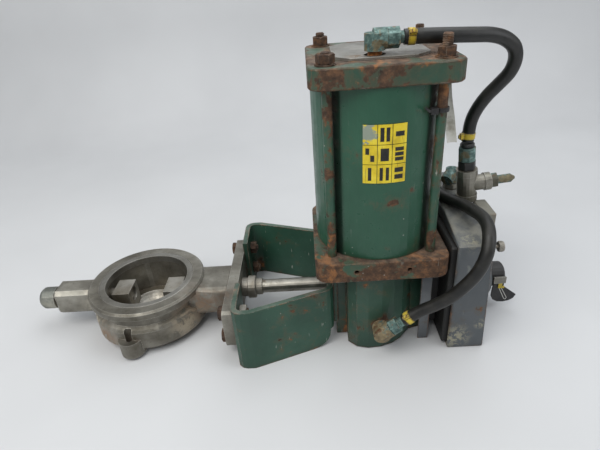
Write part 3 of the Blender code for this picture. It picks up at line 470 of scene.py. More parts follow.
def thread(bm, frame_matrix, radius, length, point=True):
    """A helical thread on a bar, from its frame's origin along Z; a point is chamfered."""
    rows_per_turn = 5
    steps = 20
    rows = max(4, round(length / THREAD_PITCH * rows_per_turn))
    rings = []
    for k in range(rows + 1):
        z = length * k / rows
        taper = min(1.0, (length - z) / THREAD_CHAMFER) if point else 1.0
        ring = []
        for i in range(steps):
            phase = (z / THREAD_PITCH - i / steps) % 1.0
            r = radius - THREAD_DEPTH * (1 - abs(2 * phase - 1)) - POINT_DROP * (1 - taper)
            angle = math.tau * i / steps
            ring.append(frame_matrix @ Vector((r * math.cos(angle), r * math.sin(angle), z)))
        rings.append(ring)
    loft(bm, rings)


def block(bm, frame_matrix, size, round_off=0.0):
    """A box with rounded edges."""
    made = bmesh.ops.create_cube(bm, size=1)["verts"]
    bmesh.ops.scale(bm, vec=size, verts=made)
    if round_off:
        edges = list({e for v in made for e in v.link_edges})
        result = bmesh.ops.bevel(
            bm, geom=edges, offset=round_off, segments=2, profile=0.5, affect="EDGES", clamp_overlap=True,
        )
        made = list({v for f in result["faces"] for v in f.verts} | {v for v in made if v.is_valid})
    bmesh.ops.transform(bm, matrix=frame_matrix, verts=made)


def piece(name, bm, look, body="root", replaces=(), sharp=32):
    """Finishes a mesh as a piece that rides on a body."""
    bmesh.ops.recalc_face_normals(bm, faces=bm.faces)
    mesh = bpy.data.meshes.new(name)
    bm.to_mesh(mesh)
    bm.free()
    mesh.shade_smooth()
    mesh.set_sharp_from_angle(angle=math.radians(sharp))
    item = bpy.data.objects.new(name, mesh)
    bpy.context.scene.collection.objects.link(item)
    mesh.materials.append(look.material)
    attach(item, body)
    if replaces:
        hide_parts(*replaces)
    return item


# ---- hoses ----------------------------------------------------------------------------------------------
HOSE_R = 0.0085
ROUTE_SPACING = 0.004
CLAMP_BACK = 0.006                # clamp to hose end
CLAMP_WIDTH = 0.0085
CLAMP_INNER = HOSE_R - 0.0003
CLAMP_BAND = 0.0011
EAR_HALF_ANGLE = 0.30
EAR_HEIGHT = 0.0052

# the routes of the air hoses, as part.py has them
UPPER_HOSE = [
    (0.0245, -0.038, 0.434), (0.050, -0.038, 0.4335), (0.078, -0.036, 0.432), (0.105, -0.031, 0.430),
    (0.128, -0.025, 0.4275), (0.147, -0.018, 0.421), (0.161, -0.012, 0.410), (0.167, -0.006, 0.395),
    (0.165, -0.001, 0.379), (0.156, 0.006, 0.363), (0.146, 0.012, 0.348), (0.137, 0.017, 0.330),
    (0.1318, 0.020, 0.311), (0.1302, 0.020, 0.2845),
]
LOWER_HOSE = [
    (0.0304, -0.0943, 0.0675), (0.050, -0.0957, 0.0832), (0.070, -0.102, 0.099), (0.087, -0.108, 0.116),
    (0.102, -0.112, 0.136), (0.115, -0.114, 0.158), (0.124, -0.111, 0.181), (0.129, -0.100, 0.199),
    (0.132, -0.082, 0.208), (0.132, -0.060, 0.209), (0.128, -0.036, 0.206), (0.120, -0.014, 0.2045),
    (0.110, 0.003, 0.2035), (0.1015, 0.020, 0.203), (0.0975, 0.040, 0.203), (0.097, 0.060, 0.203),
    (0.0985, 0.084, 0.203),
]


def smooth_route(points, spacing):
    """Points at an even spacing along a Catmull-Rom curve through the given ones."""
    known = [Vector(p) for p in points]
    known = [known[0] * 2 - known[1]] + known + [known[-1] * 2 - known[-2]]
    fine = []
    for a, b, c, d in zip(known, known[1:], known[2:], known[3:]):
        for i in range(24):
            t = i / 24
            square = 2 * a - 5 * b + 4 * c - d
            cube = 3 * b - a - 3 * c + d
            fine.append(0.5 * (2 * b + (c - a) * t + square * t**2 + cube * t**3))
    fine.append(known[-2])
    travelled = [0.0]
    for a, b in zip(fine, fine[1:]):
        travelled.append(travelled[-1] + (b - a).length)
    count = max(2, round(travelled[-1] / spacing))
    route, here = [], 0
    for k in range(count + 1):
        target = travelled[-1] * k / count
        while here < len(fine) - 2 and travelled[here + 1] < target:
            here += 1
        share = (target - travelled[here]) / (travelled[here + 1] - travelled[here])
        route.append(fine[here].lerp(fine[here + 1], min(1.0, share)))
    return route


def hose_clamp(name, route, ear, look):
    """A yellow band round the hose near its end, with the pinched ear that tightened it."""
    here, travelled = 0, 0.0
    while travelled < CLAMP_BACK:
        travelled += (route[here + 1] - route[here]).length
        here += 1
    place = route[here]
    along = (route[here + 1] - route[here - 1]).normalized()
    side = Vector(ear) - along * Vector(ear).dot(along)
    side.normalize()
    across = along.cross(side)
    steps = 40
    bm = bmesh.new()
    outline = []
    for i in range(steps):
        angle = math.tau * i / steps
        off = abs((angle + math.pi) % math.tau - math.pi)
        radius = CLAMP_INNER + CLAMP_BAND + 0.0002 * math.sin(5 * angle)
        if off < EAR_HALF_ANGLE:
            radius += EAR_HEIGHT * (1 - (off / EAR_HALF_ANGLE) ** 4)
        outline.append((side * math.cos(angle) + across * math.sin(angle), radius))
    rings = []
    for half, shrink in ((-0.5, 0.0004), (-0.44, 0.0), (0.44, 0.0), (0.5, 0.0004)):
        centre = place + along * CLAMP_WIDTH * half
        rings.append([centre + out * (radius - shrink) for out, radius in outline])
    for half in (0.5, -0.5):
        centre = place + along * CLAMP_WIDTH * half
        rings.append([centre + out * CLAMP_INNER for out, radius in outline])
    loft(bm, rings, closed=True)
    pinch = frame_at(place + side * (CLAMP_INNER + 0.0068), side)
    block(bm, pinch, (0.0026, 0.0052, 0.0030), round_off=0.0006)
    return piece(name, bm, look)


def air_hose(name, points, cad_node, look, clamp_look, ears):
    """A hose that keeps its shape between two fittings, with a clamp near each end."""
    route = smooth_route([at(*p) for p in points], ROUTE_SPACING)
    curve = bpy.data.curves.new(name, "CURVE")
    curve.dimensions = "3D"
    curve.bevel_depth = HOSE_R
    curve.bevel_resolution = 7
    curve.use_fill_caps = True
    spline = curve.splines.new("POLY")
    spline.points.add(len(route) - 1)
    for point, spot in zip(spline.points, route):
        point.co = (*spot, 1)
    spline.use_smooth = True
    curve.materials.append(look.material)
    item = bpy.data.objects.new(name, curve)
    bpy.context.scene.collection.objects.link(item)
    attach(item, "root")
    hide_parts(cad_node)
    clamps = [
        hose_clamp(f"{name}_clamp_near", route, ears[0], clamp_look),
        hose_clamp(f"{name}_clamp_far", route[::-1], ears[1], clamp_look),
    ]


hose_look = dark_stuff("hose_rubber", (0.006, 0.006, 0.0055), (0.050, 0.046, 0.037), 0.24, 0.40, 55)
clamp_look = painted("clamp_yellow", (0.55, 0.40, 0.02), (0.40, 0.27, 0.02), (0.66, 0.52, 0.06), rust=0.15,
                     wear=0.4, gloss=0.35, dust=0.2)
upper_ears = ((0, -0.85, 0.53), (-1, -0.4, 0))
lower_ears = ((-0.4, -0.6, 0.7), (0, 0, 1))
air_hose("upper_hose", UPPER_HOSE, "hose_upper", hose_look, clamp_look, upper_ears)
air_hose("lower_hose", LOWER_HOSE, "hose_lower", hose_look, clamp_look, lower_ears)


# ---- looks of the solids --------------------------------------------------------------------------------
VALVE = Vector((middle("face_ring").x, 0, 0))
END_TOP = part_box("cylinder_end")[1].z
AXIS = Vector((middle("barrel").x, middle("barrel").y, 0))

GREEN = (0.022, 0.078, 0.047)
GREEN_DEEP = (0.013, 0.045, 0.029)
GREEN_PALE = (0.040, 0.112, 0.072)


def beside_valve(x, y, z):
    """A place given from the valve's centre line."""
    return VALVE + Vector((x, y, z))


BARREL_SPOTS = (
    (at(0.0359, -0.0759, 0.2612), 0.010, 0.16), (at(0.0036, -0.0839, 0.183), 0.012, 0.16),
    (at(0.030, -0.078, 0.376), 0.012, 0.10),
)
BARREL_SHADOWS = ((-46, -37), (37, 46))
HOUSING_SPOTS = ((at(-0.010, -0.080, 0.046), 0.032, 0.20),)
COVER_CHIPS = (
    (at(0.108, -0.086, 0.022), 0.030), (at(0.142, -0.086, 0.045), 0.012), (at(0.118, -0.070, 0.178), 0.022),
)
VALVE_STAINS = (
    (beside_valve(0.086, -0.045, 0.045), 0.055, (0.20, 0.10, 0.045)),
    (beside_valve(0.075, -0.058, 0.035), 0.045, (0.46, 0.40, 0.30)),
    (beside_valve(-0.078, -0.040, 0.045), 0.050, (0.50, 0.46, 0.37)),
    (beside_valve(-0.060, -0.070, 0.020), 0.045, (0.22, 0.12, 0.06)),
    (beside_valve(0.138, -0.060, 0.060), 0.045, (0.16, 0.085, 0.045)),
)
CAP_STAINS = ((beside_valve(-0.165, -0.01, 0.045), 0.03, (0.42, 0.40, 0.33)),)
PLATE_STAINS = (
    (at(0.03, 0.035, 0.418), 0.03, (0.16, 0.10, 0.06)), (at(-0.03, -0.045, 0.418), 0.02, (0.14, 0.09, 0.05)),
)

SOLID_LOOKS = [
    painted(
        "barrel_green", (0.018, 0.084, 0.047), (0.013, 0.065, 0.037), (0.026, 0.104, 0.060),
        rust=0.02, wear=0.1, gloss=0.33, dust=0.1, scratches=0.35,
        spots=BARREL_SPOTS, shadows=BARREL_SHADOWS,
    ),
    painted("rod_green", GREEN, GREEN_DEEP, GREEN_PALE, rust=0.36, wear=0.3, gloss=0.42, dust=0.1),
    painted(
        "plate_green", (0.018, 0.064, 0.040), (0.013, 0.042, 0.027), (0.032, 0.094, 0.062),
        rust=0.12, wear=0.7, gloss=0.42, dust=0.35, scratches=0.8,
    ),
    painted(
        "housing_green", (0.017, 0.055, 0.035), (0.012, 0.030, 0.020), (0.030, 0.080, 0.052),
        rust=0.16, wear=0.4, gloss=0.45, dust=0.3, spots=HOUSING_SPOTS,
    ),
    painted(
        "flange_rust", (0.022, 0.075, 0.043), (0.03, 0.04, 0.025), (0.035, 0.10, 0.058),
        rust=0.70, wear=0.3, gloss=0.5, dust=0.2,
    ),
    painted(
        "end_rust", (0.024, 0.068, 0.042), (0.03, 0.04, 0.025), (0.04, 0.09, 0.055),
        rust=0.66, wear=0.3, gloss=0.5, dust=0.25,
    ),
    rusted("rusty_steel", 0.4, 0.5),
    cast_metal(
        "valve_cast", (0.235, 0.222, 0.190), (0.12, 0.11, 0.088), (0.37, 0.355, 0.31),
        rough=0.48, stains=VALVE_STAINS,
    ),
    cast_metal(
        "ring_steel", (0.27, 0.26, 0.235), (0.19, 0.18, 0.155), (0.37, 0.36, 0.33), rough=0.38, grain=0.4,
    ),
    cast_metal(
        "seat_steel", (0.17, 0.15, 0.115), (0.09, 0.075, 0.055), (0.25, 0.23, 0.19), rough=0.50, grain=0.7,
    ),
    cast_metal(
        "ball_steel", (0.34, 0.32, 0.28), (0.20, 0.17, 0.13), (0.46, 0.44, 0.40), rough=0.50, grain=0.7,
    ),
    cast_metal(
        "cap_cast", (0.22, 0.23, 0.21), (0.12, 0.125, 0.11), (0.36, 0.36, 0.33),
        rough=0.55, grain=1.6, stains=CAP_STAINS,
    ),
    turned_metal("stem_steel", (0.30, 0.285, 0.25), "X", 0.30, 0.7),
    turned_metal("rod_steel", (0.60, 0.58, 0.55), "Z", 0.15, 0.1),
    cast_metal(
        "plate_bare", (0.27, 0.26, 0.235), (0.17, 0.16, 0.14), (0.38, 0.37, 0.34),
        rough=0.42, grain=0.3, stains=PLATE_STAINS,
    ),
    cast_metal(
        "tee_cast", (0.20, 0.19, 0.155), (0.09, 0.085, 0.065), (0.36, 0.34, 0.30), rough=0.40, grain=1.4,
    ),
    painted(
        "cover_grey", (0.078, 0.088, 0.096), (0.058, 0.066, 0.072), (0.105, 0.115, 0.122),
        rust=0.0, wear=0.35, gloss=0.45, dust=0.75, scratches=0.4, chips=COVER_CHIPS,
    ),
    painted(
        "block_beige", (0.27, 0.26, 0.22), (0.18, 0.17, 0.14), (0.36, 0.35, 0.30),
        rust=0.02, wear=0.4, gloss=0.55, dust=0.5,
    ),
    painted(
        "channel_grey", (0.085, 0.092, 0.10), (0.05, 0.055, 0.06), (0.13, 0.14, 0.15),
        rust=0.08, wear=0.5, gloss=0.5, dust=0.3,
    ),
    dark_stuff("black_metal", (0.016, 0.016, 0.016), (0.12, 0.11, 0.095), 0.45, 0.5, 45),
    dark_stuff("deep_black", (0.006, 0.006, 0.006), (0.05, 0.045, 0.038), 0.22, 0.55, 40),
    tarnished("teal_dark", 0.45, 0.35, (0.10, 0.095, 0.07)),
    dark_stuff("black_plastic", (0.011, 0.011, 0.012), (0.09, 0.085, 0.08), 0.30, 0.42, 70),
    tarnished("teal", 0.75, 0.45),
    tarnished("brass", 0.25, 0.75, (0.24, 0.19, 0.11)),
]
LOOKS = {look.name: look for look in SOLID_LOOKS}
NODE_LOOKS = {
    "barrel": "barrel_green", "bracket_front": "plate_green", "bracket_rear": "plate_green",
    "linkage_housing": "housing_green", "housing_cover": "housing_green",
    "cylinder_base": "flange_rust", "cylinder_end": "end_rust", "end_plate": "plate_bare",
    "valve_body": "valve_cast", "face_ring": "ring_steel", "seat_ring": "seat_steel",
    "trunnion_cap": "cap_cast", "ball_segment": "ball_steel", "packing_follower": "ball_steel",
    "valve_stem": "stem_steel", "trunnion_pin": "stem_steel", "piston_rod": "rod_steel",
    "rod_bearing": "brass", "piston": "black_metal", "piston_seal": "black_plastic",
    "crosshead": "black_metal", "lever": "black_metal", "positioner_cover": "cover_grey",
    "shaft_boss": "cover_grey", "positioner_base": "deep_black", "positioner_yoke": "deep_black",
    "mount_channel": "channel_grey", "side_block": "block_beige", "positioner_shaft": "black_metal",
    "indicator_knob": "black_plastic", "indicator_flag": "black_plastic",
    "indicator_band": "ring_steel", "pipe_tee": "tee_cast", "riser_nut": "black_metal",
    "riser_adapter": "teal", "riser_tail": "black_plastic", "branch_bush": "teal_dark",
    "test_nipple": "teal", "top_elbow": "teal", "top_tail": "teal", "lower_elbow": "brass",
    "lower_tail": "teal", "port_elbow": "teal", "port_nut": "block_beige", "rear_elbow": "brass",
    "rear_tail": "brass", "thumb_screw": "ball_steel", "cable_tie": "black_plastic",
}
SOFT_EDGES = {
    "valve_body": 0.0012, "face_ring": 0.0008, "seat_ring": 0.0008, "ball_segment": 0.0010,
    "bracket_front": 0.0009, "bracket_rear": 0.0009, "linkage_housing": 0.0015, "mount_channel": 0.0004,
    "positioner_base": 0.001, "positioner_yoke": 0.0012, "end_plate": 0.0006, "housing_cover": 0.0005,
    "packing_follower": 0.0008, "trunnion_cap": 0.0012, "lever": 0.001, "crosshead": 0.001,
    "shaft_boss": 0.001, "pipe_tee": 0.0016, "side_block": 0.0008, "top_tail": 0.0008,
    "lower_tail": 0.0008, "rear_tail": 0.0006, "port_nut": 0.0008, "riser_nut": 0.0008,
    "riser_adapter": 0.0010, "branch_bush": 0.0008, "test_nipple": 0.0006, "top_elbow": 0.0022,
    "lower_elbow": 0.0022, "port_elbow": 0.0016, "rear_elbow": 0.0016, "indicator_knob": 0.0008,
    "indicator_flag": 0.0004, "indicator_band": 0.0004,
}


def dress_solids():
    """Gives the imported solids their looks, and soft edges where they have sharp ones."""
    for name, look in NODE_LOOKS.items():
        node = NODES[name]
        node.data.materials.clear()
        node.data.materials.append(LOOKS[look].material)
        weld = node.modifiers.new("weld", "WELD")
        weld.merge_threshold = 0.00001
        if name in SOFT_EDGES:
            rounding = node.modifiers.new("soft_edges", "BEVEL")
            rounding.width = SOFT_EDGES[name]
            rounding.segments = 2
            rounding.limit_method = "ANGLE"
            rounding.angle_limit = math.radians(32)
            rounding.harden_normals = False


dress_solids()


# ---- rods, nuts and bolts -------------------------------------------------------------------------------
NUT_CORNER = 0.019 / math.sqrt(3)
NUT_HEIGHT = 0.0104
ROD_R = 0.006
WASHER_R = NUT_CORNER + 0.0012
WASHER_FOOT = 0.0003              # above the flange
WASHER_THICK = 0.0016
STUD_START = 0.0100
HEAD_HEIGHT = 0.0070
SHANK_END = 0.030
COVER_BOLT_INSET = 0.010
BRACKET_SCREW_Y = 0.040
BRACKET_SCREW_Z = 0.046
SCREW_HEAD = 0.0083
THUMB_SCREW_Z = 0.166
THUMB_HEAD_X = 0.1560
THUMB_HEAD_R = 0.0070


def tie_rods():
    """Painted rods, each with a chamfered rusty nut, a washer and the threaded stud above it."""
    for number in range(1, 5):
        low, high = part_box(f"tie_rod_{number}")
        x, y = (low.x + high.x) / 2, (low.y + high.y) / 2
        rod = bmesh.new()
        lathe(rod, Matrix.Translation((x, y, 0)), [(ROD_R, low.z), (ROD_R, END_TOP - 0.001)], 32)
        piece(f"rod_bar_{number}", rod, LOOKS["rod_green"],
              replaces=(f"tie_rod_{number}",))
        fastening = bmesh.new()
        foot = END_TOP + WASHER_FOOT
        seat = foot + WASHER_THICK
        lathe(fastening, Matrix.Translation((x, y, 0)), [
            (WASHER_R, foot), (WASHER_R, foot + 0.0014), (ROD_R, seat), (ROD_R, foot),
        ], 40, closed=True)
        turned_by = Matrix.Rotation(0.35 * number, 4, "Z")
        hexagon(fastening, Matrix.Translation((x, y, seat)) @ turned_by, NUT_CORNER, NUT_HEIGHT)
        stud = Matrix.Translation((x, y, foot + STUD_START))
        thread(fastening, stud, ROD_R, high.z - foot - STUD_START)
        piece(f"rod_nut_{number}", fastening, LOOKS["rusty_steel"], sharp=28)


def flange_bolts():
    """The four rusty bolts between the valve flange and the yoke, one of them with a newer nut."""
    for number in range(1, 5):
        low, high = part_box(f"flange_bolt_{number}")
        y, z = (low.y + high.y) / 2, (low.z + high.z) / 2
        newer = number == 2
        bolt = bmesh.new()
        hexagon(bolt, frame_at((low.x, y, z), X_AXIS, 11 * number), NUT_CORNER, HEAD_HEIGHT)
        lathe(bolt, frame_at((low.x, y, z), X_AXIS), [(ROD_R, HEAD_HEIGHT - 0.001), (ROD_R, SHANK_END)], 24)
        thread(bolt, frame_at((low.x + SHANK_END, y, z), X_AXIS), ROD_R, high.x - low.x - SHANK_END)
        piece(f"valve_bolt_{number}", bolt, LOOKS["rusty_steel"],
              replaces=(f"flange_bolt_{number}",), sharp=28)
        nut = bmesh.new()
        nut_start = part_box("bracket_front")[0].x + 0.0083
        nut_frame = frame_at((nut_start, y, z), X_AXIS, 17 * number + 4)
        hexagon(nut, nut_frame, NUT_CORNER, 0.0100, ROD_R - 0.0006)
        nut_look = LOOKS["ball_steel" if newer else "rusty_steel"]
        piece(f"valve_nut_{number}", nut, nut_look)


def bracket_screws():
    """The lower screws that hold the yoke plates to the housing, seen inside the yoke."""
    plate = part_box("bracket_front")[1].x
    bm = bmesh.new()
    for side in (-1, 1):
        place = Vector((plate - SCREW_HEAD, side * BRACKET_SCREW_Y, BRACKET_SCREW_Z))
        hexagon(bm, frame_at(place, -X_AXIS, 20 * side), 0.0075, 0.0052)
    piece("bracket_screws", bm, LOOKS["rusty_steel"])


def cover_bolts():
    """Cap screws round the housing's cover plate."""
    low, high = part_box("housing_cover")
    bm = bmesh.new()
    washer = [(0.0078, 0), (0.0078, 0.0012), (0.0070, 0.0014)]
    for x in (low.x + COVER_BOLT_INSET, middle("housing_cover").x, high.x - COVER_BOLT_INSET):
        for z in (low.z + COVER_BOLT_INSET, high.z - COVER_BOLT_INSET):
            hexagon(bm, frame_at((x, high.y, z), Y_AXIS, 30), 0.0064, 0.0042)
            lathe(bm, frame_at((x, high.y - 0.0002, z), Y_AXIS), washer, 32)
    piece("cover_bolts", bm, LOOKS["rusty_steel"])


def stroke(bm, start, end, front, width, thick):
    """A straight bar between two places given as x and z, its face at a plane of constant y."""
    first, last = at(start[0], front, start[1]), at(end[0], front, end[1])
    along = last - first
    place = frame_at((first + last) / 2, along.normalized())
    lies_across = abs(place[1][0]) > 0.5
    size = (thick, width) if lies_across else (width, thick)
    block(bm, place, (*size, along.length + width))


FLAG_FRONT = -0.0016
ARROW = (
    (0.2010, 0.0415), (0.2040, 0.0425), (0.2155, 0.0215), (0.2140, 0.0180), (0.2115, 0.0195),
    (0.2010, 0.0415),
)


def indicator_marks():
    """The yellow key under the band and the outlined arrow on the flag; both turn with the stem."""
    bm = bmesh.new()
    block(bm, frame_at(at(0.2015, -0.0028, 0.0480), Z_AXIS), (0.0060, 0.0012, 0.0090), round_off=0.0004)
    block(bm, frame_at(at(0.2035, -0.0028, 0.0440), Z_AXIS), (0.0100, 0.0012, 0.0040), round_off=0.0004)
    key = Look("indicator_yellow", 0.45, colour=(0.62, 0.46, 0.03))
    key.set("Base Color", key.ramp(key.noise(90, 5), (0.35, (0.40, 0.30, 0.04)), (0.6, (0.66, 0.50, 0.03))))
    piece("indicator_key", bm, key, "stem")
    bm = bmesh.new()
    for start, end in zip(ARROW, ARROW[1:]):
        stroke(bm, start, end, FLAG_FRONT, 0.0009, 0.0004)
    white = Look("indicator_white", 0.5, colour=(0.62, 0.62, 0.58))
    piece("indicator_arrow", bm, white, "stem")


def thumb_screws():
    """The second cover screw, towards the back, and knurled rims for both."""
    bm = bmesh.new()
    shank = [(0, 0), (0.0026, 0), (0.0026, 0.0100), (0, 0.0100)]
    rim = [
        (0, 0), (0.0066, 0), (THUMB_HEAD_R, 0.0006), (THUMB_HEAD_R, 0.0062), (0.0064, 0.0070),
        (0.0030, 0.0072), (0, 0.0066),
    ]
    for y, has_shank in ((-0.069, False), (0.111, True)):
        if has_shank:
            lathe(bm, frame_at(at(0.1464, y, THUMB_SCREW_Z), X_AXIS), shank, 20)
        lathe(bm, frame_at(at(THUMB_HEAD_X, y, THUMB_SCREW_Z), X_AXIS), rim, 40)
        for i in range(24):
            angle = math.tau * i / 24
            out = Vector((0, math.cos(angle), math.sin(angle)))
            rib = at(THUMB_HEAD_X + 0.0033, y, THUMB_SCREW_Z) + out * THUMB_HEAD_R
            block(bm, frame_at(rib, out), (0.0046, 0.0008, 0.0008))
    piece("thumb_screw_heads", bm, LOOKS["ball_steel"])


def port_thread():
    """The sealed thread where the top elbow enters the end plate."""
    sealed = Look("sealed_thread", 0.55, colour=(0.35, 0.13, 0.035), metallic=0.3)
    tone = sealed.ramp(sealed.noise(240, 4), (0.35, (0.16, 0.06, 0.02)), (0.65, (0.46, 0.18, 0.05)))
    sealed.set("Base Color", tone)
    bm = bmesh.new()
    thread(bm, frame_at(at(-0.008, -0.038, 0.4170), Z_AXIS), 0.0086, 0.0055, point=False)
    piece("port_thread", bm, sealed)


def tie_tail():
    """The cut-off end of the cable tie, standing off the rod."""
    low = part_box("cable_tie")[0]
    start = Vector((low.x + 0.002, low.y + 0.002, low.z + 0.004))
    thick, tall = 0.0004, 0.0016
    section = [(-thick, -tall), (thick, -tall), (thick, tall), (-thick, tall)]
    rings = []
    for i in range(9):
        share = i / 8
        centre = start + Vector((-0.010 * share, -0.006 * math.sin(1.4 * share), 0.006 * share**2))
        rings.append([centre + Vector((0, y, z)) for y, z in section])
    bm = bmesh.new()
    loft(bm, rings)
    piece("tie_tail", bm, LOOKS["black_plastic"])


tie_rods()
flange_bolts()
indicator_marks()
thumb_screws()
port_thread()
tie_tail()
bracket_screws()
cover_bolts()


# ---- marker tiles on the barrel -------------------------------------------------------------------------
def curved_patch(bm, radius, start, end, low, high, thick, steps=8):
    """A thin sheet on the barrel between two angles about its axis, counted from the front."""
    rings = []
    for i in range(steps + 1):
        angle = math.radians(start + (end - start) * i / steps)
        out = Vector((math.sin(angle), -math.cos(angle), 0))
        near, far = AXIS + out * radius, AXIS + out * (radius + thick)
        rings.append([near + Z_AXIS * low, far + Z_AXIS * low, far + Z_AXIS * high, near + Z_AXIS * high])
    loft(bm, rings)


# marks of the nine tiles: plain bars in fractions of a tile, left, right, bottom and top
TILE_MARKS = (
    (),
    ((0.18, 0.44, 0.16, 0.84), (0.58, 0.82, 0.16, 0.84)),
    ((0.20, 0.80, 0.38, 0.62),),
    ((0.20, 0.46, 0.52, 0.84), (0.54, 0.80, 0.16, 0.48)),
    ((0.22, 0.78, 0.18, 0.82),),
    ((0.20, 0.80, 0.66, 0.84), (0.20, 0.80, 0.41, 0.59), (0.20, 0.80, 0.16, 0.34)),
    ((0.38, 0.62, 0.16, 0.84),),
    ((0.18, 0.40, 0.16, 0.84), (0.60, 0.82, 0.16, 0.84)),
    ((0.20, 0.80, 0.20, 0.44), (0.20, 0.80, 0.56, 0.80)),
)


TILES_LEFT = -18.6                # degrees about the barrel's axis, from the front
TILES_RIGHT = 16.6
TILE_R = 0.0845
TILE_THICK = 0.0003
INK_THICK = 0.00012
TILE_SIDE_GAP = 0.25              # degrees
TILE_END_GAP = 0.0004


def marker_tiles():
    """Nine worn yellow tiles; all but the torn first one carry plain black bars."""
    low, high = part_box("label_tiles")
    wide, tall = (TILES_RIGHT - TILES_LEFT) / 3, (high.z - low.z) / 3
    sheet, marks = bmesh.new(), bmesh.new()
    for number, bars in enumerate(TILE_MARKS):
        row, column = divmod(number, 3)
        start = TILES_LEFT + column * wide
        bottom = high.z - (row + 1) * tall
        curved_patch(sheet, TILE_R, start + TILE_SIDE_GAP, start + wide - TILE_SIDE_GAP,
                     bottom + TILE_END_GAP, bottom + tall - TILE_END_GAP, TILE_THICK)
        for a, b, c, d in bars:
            curved_patch(marks, TILE_R + TILE_THICK, start + wide * a, start + wide * b,
                         bottom + tall * c, bottom + tall * d, INK_THICK, 5)
    yellow = Look("tile_yellow", specular=0.5)
    tone = yellow.noise(60, 6, 0.6)
    colour = yellow.ramp(tone, (0.30, (0.52, 0.38, 0.015)), (0.50, (0.72, 0.55, 0.02)),
                         (0.70, (0.80, 0.66, 0.06)))
    corner = yellow.near((AXIS.x - 0.0245, AXIS.y - 0.0805, high.z - 0.011), 0.0185, 0.5)
    torn = yellow.step(yellow.add(yellow.noise(110, 7, 0.7, 0.4), yellow.times(corner, 0.20)), 0.58, 0.64)
    colour = yellow.mix(yellow.times(torn, yellow.step(corner, 0.05, 0.3)), colour, (0.26, 0.30, 0.24))
    scored = yellow.stretched((300, 300, 30), (0.2, 0.3, 0))
    lines = yellow.step(yellow.noise(1, 3, 0.5, 0, scored), 0.64, 0.70)
    colour = yellow.mix(yellow.times(lines, 0.4), colour, (0.10, 0.07, 0.02))
    yellow.set("Base Color", colour)
    yellow.set("Roughness", yellow.step(tone, 0.3, 0.7, 0.35, 0.6))
    yellow.bump(yellow.noise(200, 4), 0.0002, 0.4)
    piece("tile_sheet", sheet, yellow, replaces=("label_tiles",))
    ink = dark_stuff("tile_ink", (0.008, 0.008, 0.008), (0.12, 0.10, 0.04), 0.2, 0.4, 120)
    piece("tile_marks", marks, ink)


marker_tiles()


# ---- paper tag ------------------------------------------------------------------------------------------
def paper_tag():
    """A curved paper tag behind the right front rod, narrow at its top."""
    low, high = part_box("paper_tag")
    bm = bmesh.new()
    rings = []
    tall = high.z - low.z
    for i in range(15):
        share = i / 14
        z = high.z - tall * share
        centre_x = low.x + 0.0022 + 0.0088 * share**1.6
        half = 0.0016 + 0.0044 * min(1.0, share * 1.8)
        sway = 0.0012 * math.sin(4.5 * share)
        y = low.y + sway + 0.0006
        across = (-1, -0.5, 0, 0.5, 1)
        ring = [Vector((centre_x + half * u, y + 0.0010 * math.cos(u * 2.2), z)) for u in across]
        rings.append(ring + [p + Vector((0, 0.0003, 0)) for p in ring[::-1]])
    loft(bm, rings)
    look = Look("tag_paper", 0.85, colour=(0.62, 0.61, 0.56))
    colour = look.ramp(look.noise(60, 6, 0.65), (0.32, (0.36, 0.34, 0.28)), (0.50, (0.60, 0.59, 0.53)),
                       (0.68, (0.70, 0.69, 0.64)))
    look.set("Base Color", colour)
    look.bump(look.noise(180, 5), 0.0004, 0.6)
    piece("tag", bm, look, replaces=("paper_tag",))


paper_tag()


# ---- floor, backdrop and light --------------------------------------------------------------------------
FLOOR_HALF = 4.0
BACK_Y = 0.85
BACK_CURVE = 0.35


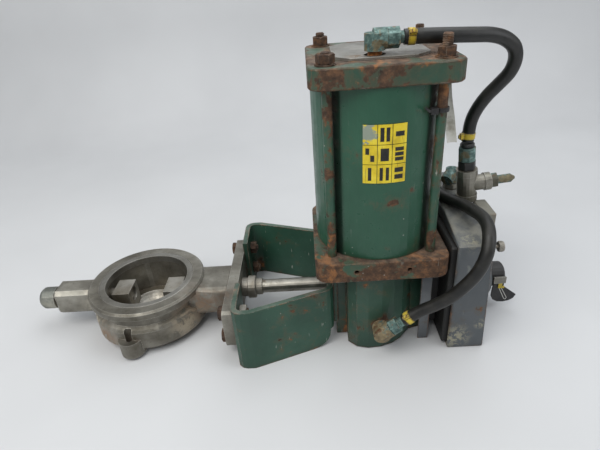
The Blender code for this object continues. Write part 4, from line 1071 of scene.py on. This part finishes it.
def make_stage():
    """A pale floor that curves up into the backdrop."""
    bm = bmesh.new()
    profile = [(-FLOOR_HALF, 0.0)]
    for i in range(13):
        angle = math.radians(-90 + 90 * i / 12)
        profile.append((BACK_Y + BACK_CURVE * math.cos(angle), BACK_CURVE + BACK_CURVE * math.sin(angle)))
    profile.append((BACK_Y + BACK_CURVE, FLOOR_HALF))
    rows = [[bm.verts.new((x, y, z)) for y, z in profile] for x in (-FLOOR_HALF, FLOOR_HALF)]
    for i in range(len(profile) - 1):
        bm.faces.new((rows[0][i], rows[1][i], rows[1][i + 1], rows[0][i + 1]))
    mesh = bpy.data.meshes.new("backdrop")
    bm.to_mesh(mesh)
    bm.free()
    mesh.shade_smooth()
    item = bpy.data.objects.new("backdrop", mesh)
    bpy.context.scene.collection.objects.link(item)
    look = Look("backdrop_paper", 0.9, colour=(0.60, 0.605, 0.615), specular=0.2)
    tone = look.noise(2.2, 3)
    look.set("Base Color", look.ramp(tone, (0.3, (0.575, 0.58, 0.59)), (0.7, (0.625, 0.63, 0.64))))
    mesh.materials.append(look.material)


def area_light(name, place, target, size, power, colour):
    """A rectangular lamp that faces a target."""
    data = bpy.data.lights.new(name, "AREA")
    data.shape = "RECTANGLE"
    data.size, data.size_y = size
    data.energy = power
    data.color = colour
    item = bpy.data.objects.new(name, data)
    item.location = place
    item.rotation_euler = (Vector(target) - Vector(place)).to_track_quat("-Z", "Y").to_euler()
    bpy.context.scene.collection.objects.link(item)


def make_light():
    world = bpy.data.worlds.new("studio")
    world.use_nodes = True
    sky = world.node_tree.nodes["Background"]
    sky.inputs["Color"].default_value = (0.92, 0.96, 1.0, 1)
    sky.inputs["Strength"].default_value = 0.36
    bpy.context.scene.world = world
    area_light("key", (-0.7, -0.9, 1.7), (0, 0, 0.15), (1.5, 1.1), 26, (1.0, 0.99, 0.96))
    area_light("top", (0.5, 0.3, 1.9), (0, 0.1, 0.1), (1.8, 1.4), 17, (0.95, 0.98, 1.0))
    area_light("right", (1.5, -0.6, 0.9), (0.1, 0, 0.2), (0.9, 1.2), 6, (0.95, 0.97, 1.0))
    bpy.context.scene.view_settings.view_transform = "Standard"


make_stage()
make_light()
